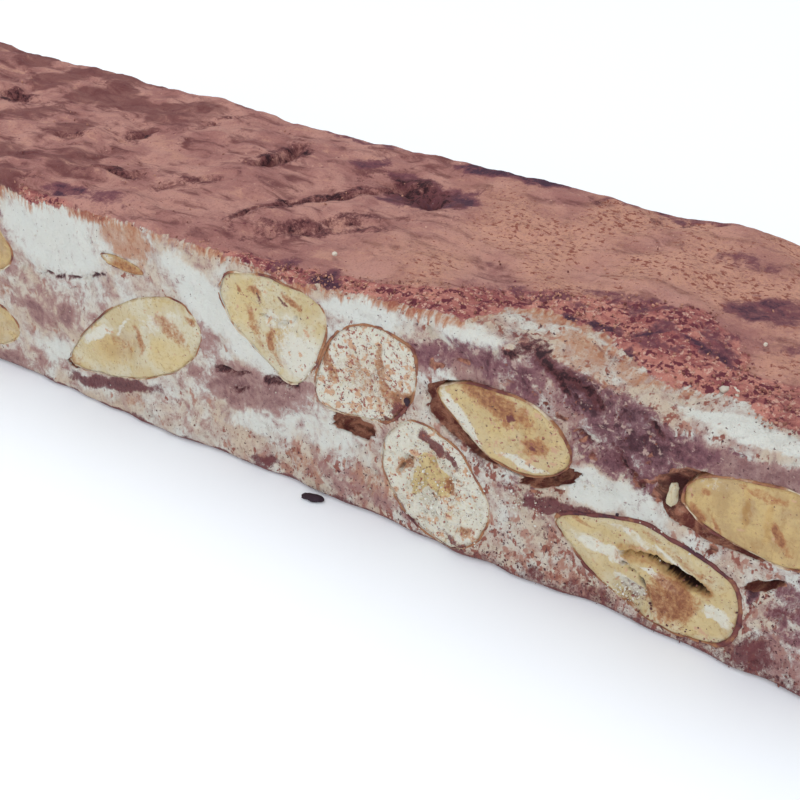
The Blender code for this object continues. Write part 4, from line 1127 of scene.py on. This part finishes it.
def makeGrains():  # coarse cocoa grains where the powder thins out along the front edge, and over the top
    rng = np.random.default_rng(77)
    x = np.concatenate([rng.uniform(4, 79, 1500), rng.uniform(-79, 6, 300), rng.uniform(-79, 79, 500)])
    share = rng.random(len(x))
    cream = profile(creamLimit, x)
    whole = np.maximum(profile(powderStart, x), cream + 1.2)
    climbed = cream + (whole - cream) * (0.1 + 1.0 * share)
    climbed[1800:] = rng.uniform(30, 63, 500)
    inside = np.clip(climbed - 28.0, 0.15, 36)
    y = -18.5 + inside
    z = np.minimum(climbed, 27.6 + 0.5 * smooth(inside) + topRelief(x, y))
    size = 0.1 + 0.26 * rng.random(len(x)) ** 2.5
    size[1800:] = 0.1 + 0.22 * rng.random(500) ** 3
    spots = np.stack([x, y, z], axis=1)
    places, faceList, each = lumps(spots, size, 78)
    piece = meshPiece("cocoa_grains", places, faceList)
    addMask(piece, "shade", np.repeat(rng.random(len(spots)), each))
    finishPiece(piece, "cocoa_dust", grainLook, angular=True)


# place, size, turn and shade (0 dark maroon, 1 pale)
looseBits = [
    ((14.9, -20.3, 0.42), (2.6, 1.2, 0.9), 14, 0.0), ((13.6, -12.7, 28.4), (0.6, 0.55, 0.45), 0, 0.9),
    ((59.8, -4.9, 27.9), (0.45, 0.45, 0.35), 0, 0.9), ((59.1, -13.6, 27.0), (1.0, 0.9, 0.6), 25, 0.75),
    ((60.1, -13.1, 27.0), (0.8, 0.6, 0.5), -30, 0.9), ((60.5, -14.0, 26.9), (0.5, 0.5, 0.4), 60, 0.8),
    ((52.0, -18.75, 12.6), (0.35, 0.3, 0.4), 0, 0.0), ((27.1, -18.8, 17.1), (0.7, 0.35, 1.1), 0, 0.0)]
almondFlake = [((57.2, -18.2, 17.0), (1.1, 0.6, 2.4), 35, 0.0)]


def makeBits(name, bits, look):  # uneven angular bits at these places, joined
    for index, (spot, size, turn, shade) in enumerate(bits):
        bpy.ops.mesh.primitive_ico_sphere_add(subdivisions=3, radius=mm / 2)
        bit = newPiece(name)
        bit.scale = size
        bit.rotation_euler = (0, 0, math.radians(turn))
        bit.location = Vector(spot) * mm
        bpy.ops.object.transform_apply()
        places = readPoints(bit)
        middle = np.array(spot)
        uneven = 1 + 0.4 * softNoise(places, 0.5 * max(size), index)
        uneven += 0.15 * softNoise(places, 0.3, index + 40)
        writePoints(bit, middle + (places - middle) * uneven[:, None])
        addMask(bit, "shade", np.full(len(places), shade))
    deselectAll()
    made = [bit for bit in bpy.context.scene.objects if bit.name.startswith(name)]
    for bit in made:
        bit.select_set(True)
    bpy.context.view_layer.objects.active = made[0]
    if len(made) > 1:
        bpy.ops.object.join()
    piece = newPiece(name)
    faceOutwards(piece)
    finishPiece(piece, "almond", look, angular=True)


# camera, light and floor
camera = {"place": (90.7, -116.3, 91.4), "pitch": 32.46, "yaw": 33.48, "lens": 58.5}


def makeCamera():
    lens = bpy.data.cameras.new("camera")
    lens.lens = camera["lens"]
    lens.sensor_width = 36
    lens.clip_start = 0.005
    lens.clip_end = 20
    holder = bpy.data.objects.new("camera", lens)
    holder.location = Vector(camera["place"]) * mm
    holder.rotation_euler = (math.radians(90 - camera["pitch"]), 0, math.radians(camera["yaw"]))
    bpy.context.scene.collection.objects.link(holder)
    bpy.context.scene.camera = holder


def makeLight(name, place, size, power):
    lamp = bpy.data.lights.new(name, "AREA")
    lamp.shape = "DISK"
    lamp.size = size
    lamp.energy = power
    holder = bpy.data.objects.new(name, lamp)
    holder.location = place
    holder.rotation_euler = (-Vector(place)).to_track_quat("-Z", "Y").to_euler()
    bpy.context.scene.collection.objects.link(holder)


def makeStudio():
    deselectAll()
    bpy.ops.mesh.primitive_plane_add(size=6)
    floor = newPiece("floor")
    look = startMaterial("plain pale floor")
    constants = {"Base Color": hexColour("#F6FAFF"), "Roughness": 0.6}
    shader = addNode(look, "ShaderNodeBsdfPrincipled", constants)
    addNode(look, "ShaderNodeOutputMaterial", {}, {"Surface": shader.outputs["BSDF"]})
    floor.data.materials.append(look)
    makeLight("window", (-0.25, 0.2, 0.95), 1.1, 5.4)
    makeLight("fill", (0.35, -0.95, 0.6), 1.1, 6.9)
    sky = bpy.data.worlds.new("room")
    sky.use_nodes = True
    sky.node_tree.nodes["Background"].inputs["Color"].default_value = hexColour("#EFF5FC")
    sky.node_tree.nodes["Background"].inputs["Strength"].default_value = 0.62
    bpy.context.scene.world = sky
    bpy.context.scene.view_settings.view_transform = "Standard"


makeCamera()
makeStudio()
print("studio ready")
almondLook = almondMaterial()
skinLook = skinMaterial()
creamLook = crumbMaterial("nougat crumb", "#BDB1A0", "#D9DAD2", 0.7)
plumLook = crumbMaterial("cocoa stained crumb", "#4E2A30", "#8C5A50", 0.8)
grainLook = crumbMaterial("cocoa grain", "#6A3A38", "#C08E78", 0.9)
bitLook = crumbMaterial("almond and sugar bit", "#2E1C26", "#D0C6B6", 0.75)
kernels = allAlmonds()
deselectAll()
block = plainBlock()
print("block", len(block.data.polygons), flush=True)
shapeBlock(block)
print("slice shaped", flush=True)
cutSockets(block, kernels)
sliceMasks(block)
finishPiece(block, "nougat", nougatMaterial(), "nougat")
print("sockets cut", len(block.data.polygons))
for kernelName, kernelSpec in kernels.items():
    makeKernel(kernelName, kernelSpec)
makeSkins(kernels)
makeCrumbs("nougat_crumbs", creamCrumbs, creamLook, "nougat", 5)
makeCrumbs("stained_crumbs", plumCrumbs, plumLook, "cocoa_dust", 6)
makeGrains()
makeBits("loose_bits", looseBits, bitLook)
makeBits("almond_flake", almondFlake, almondLook)
print("almonds in place")
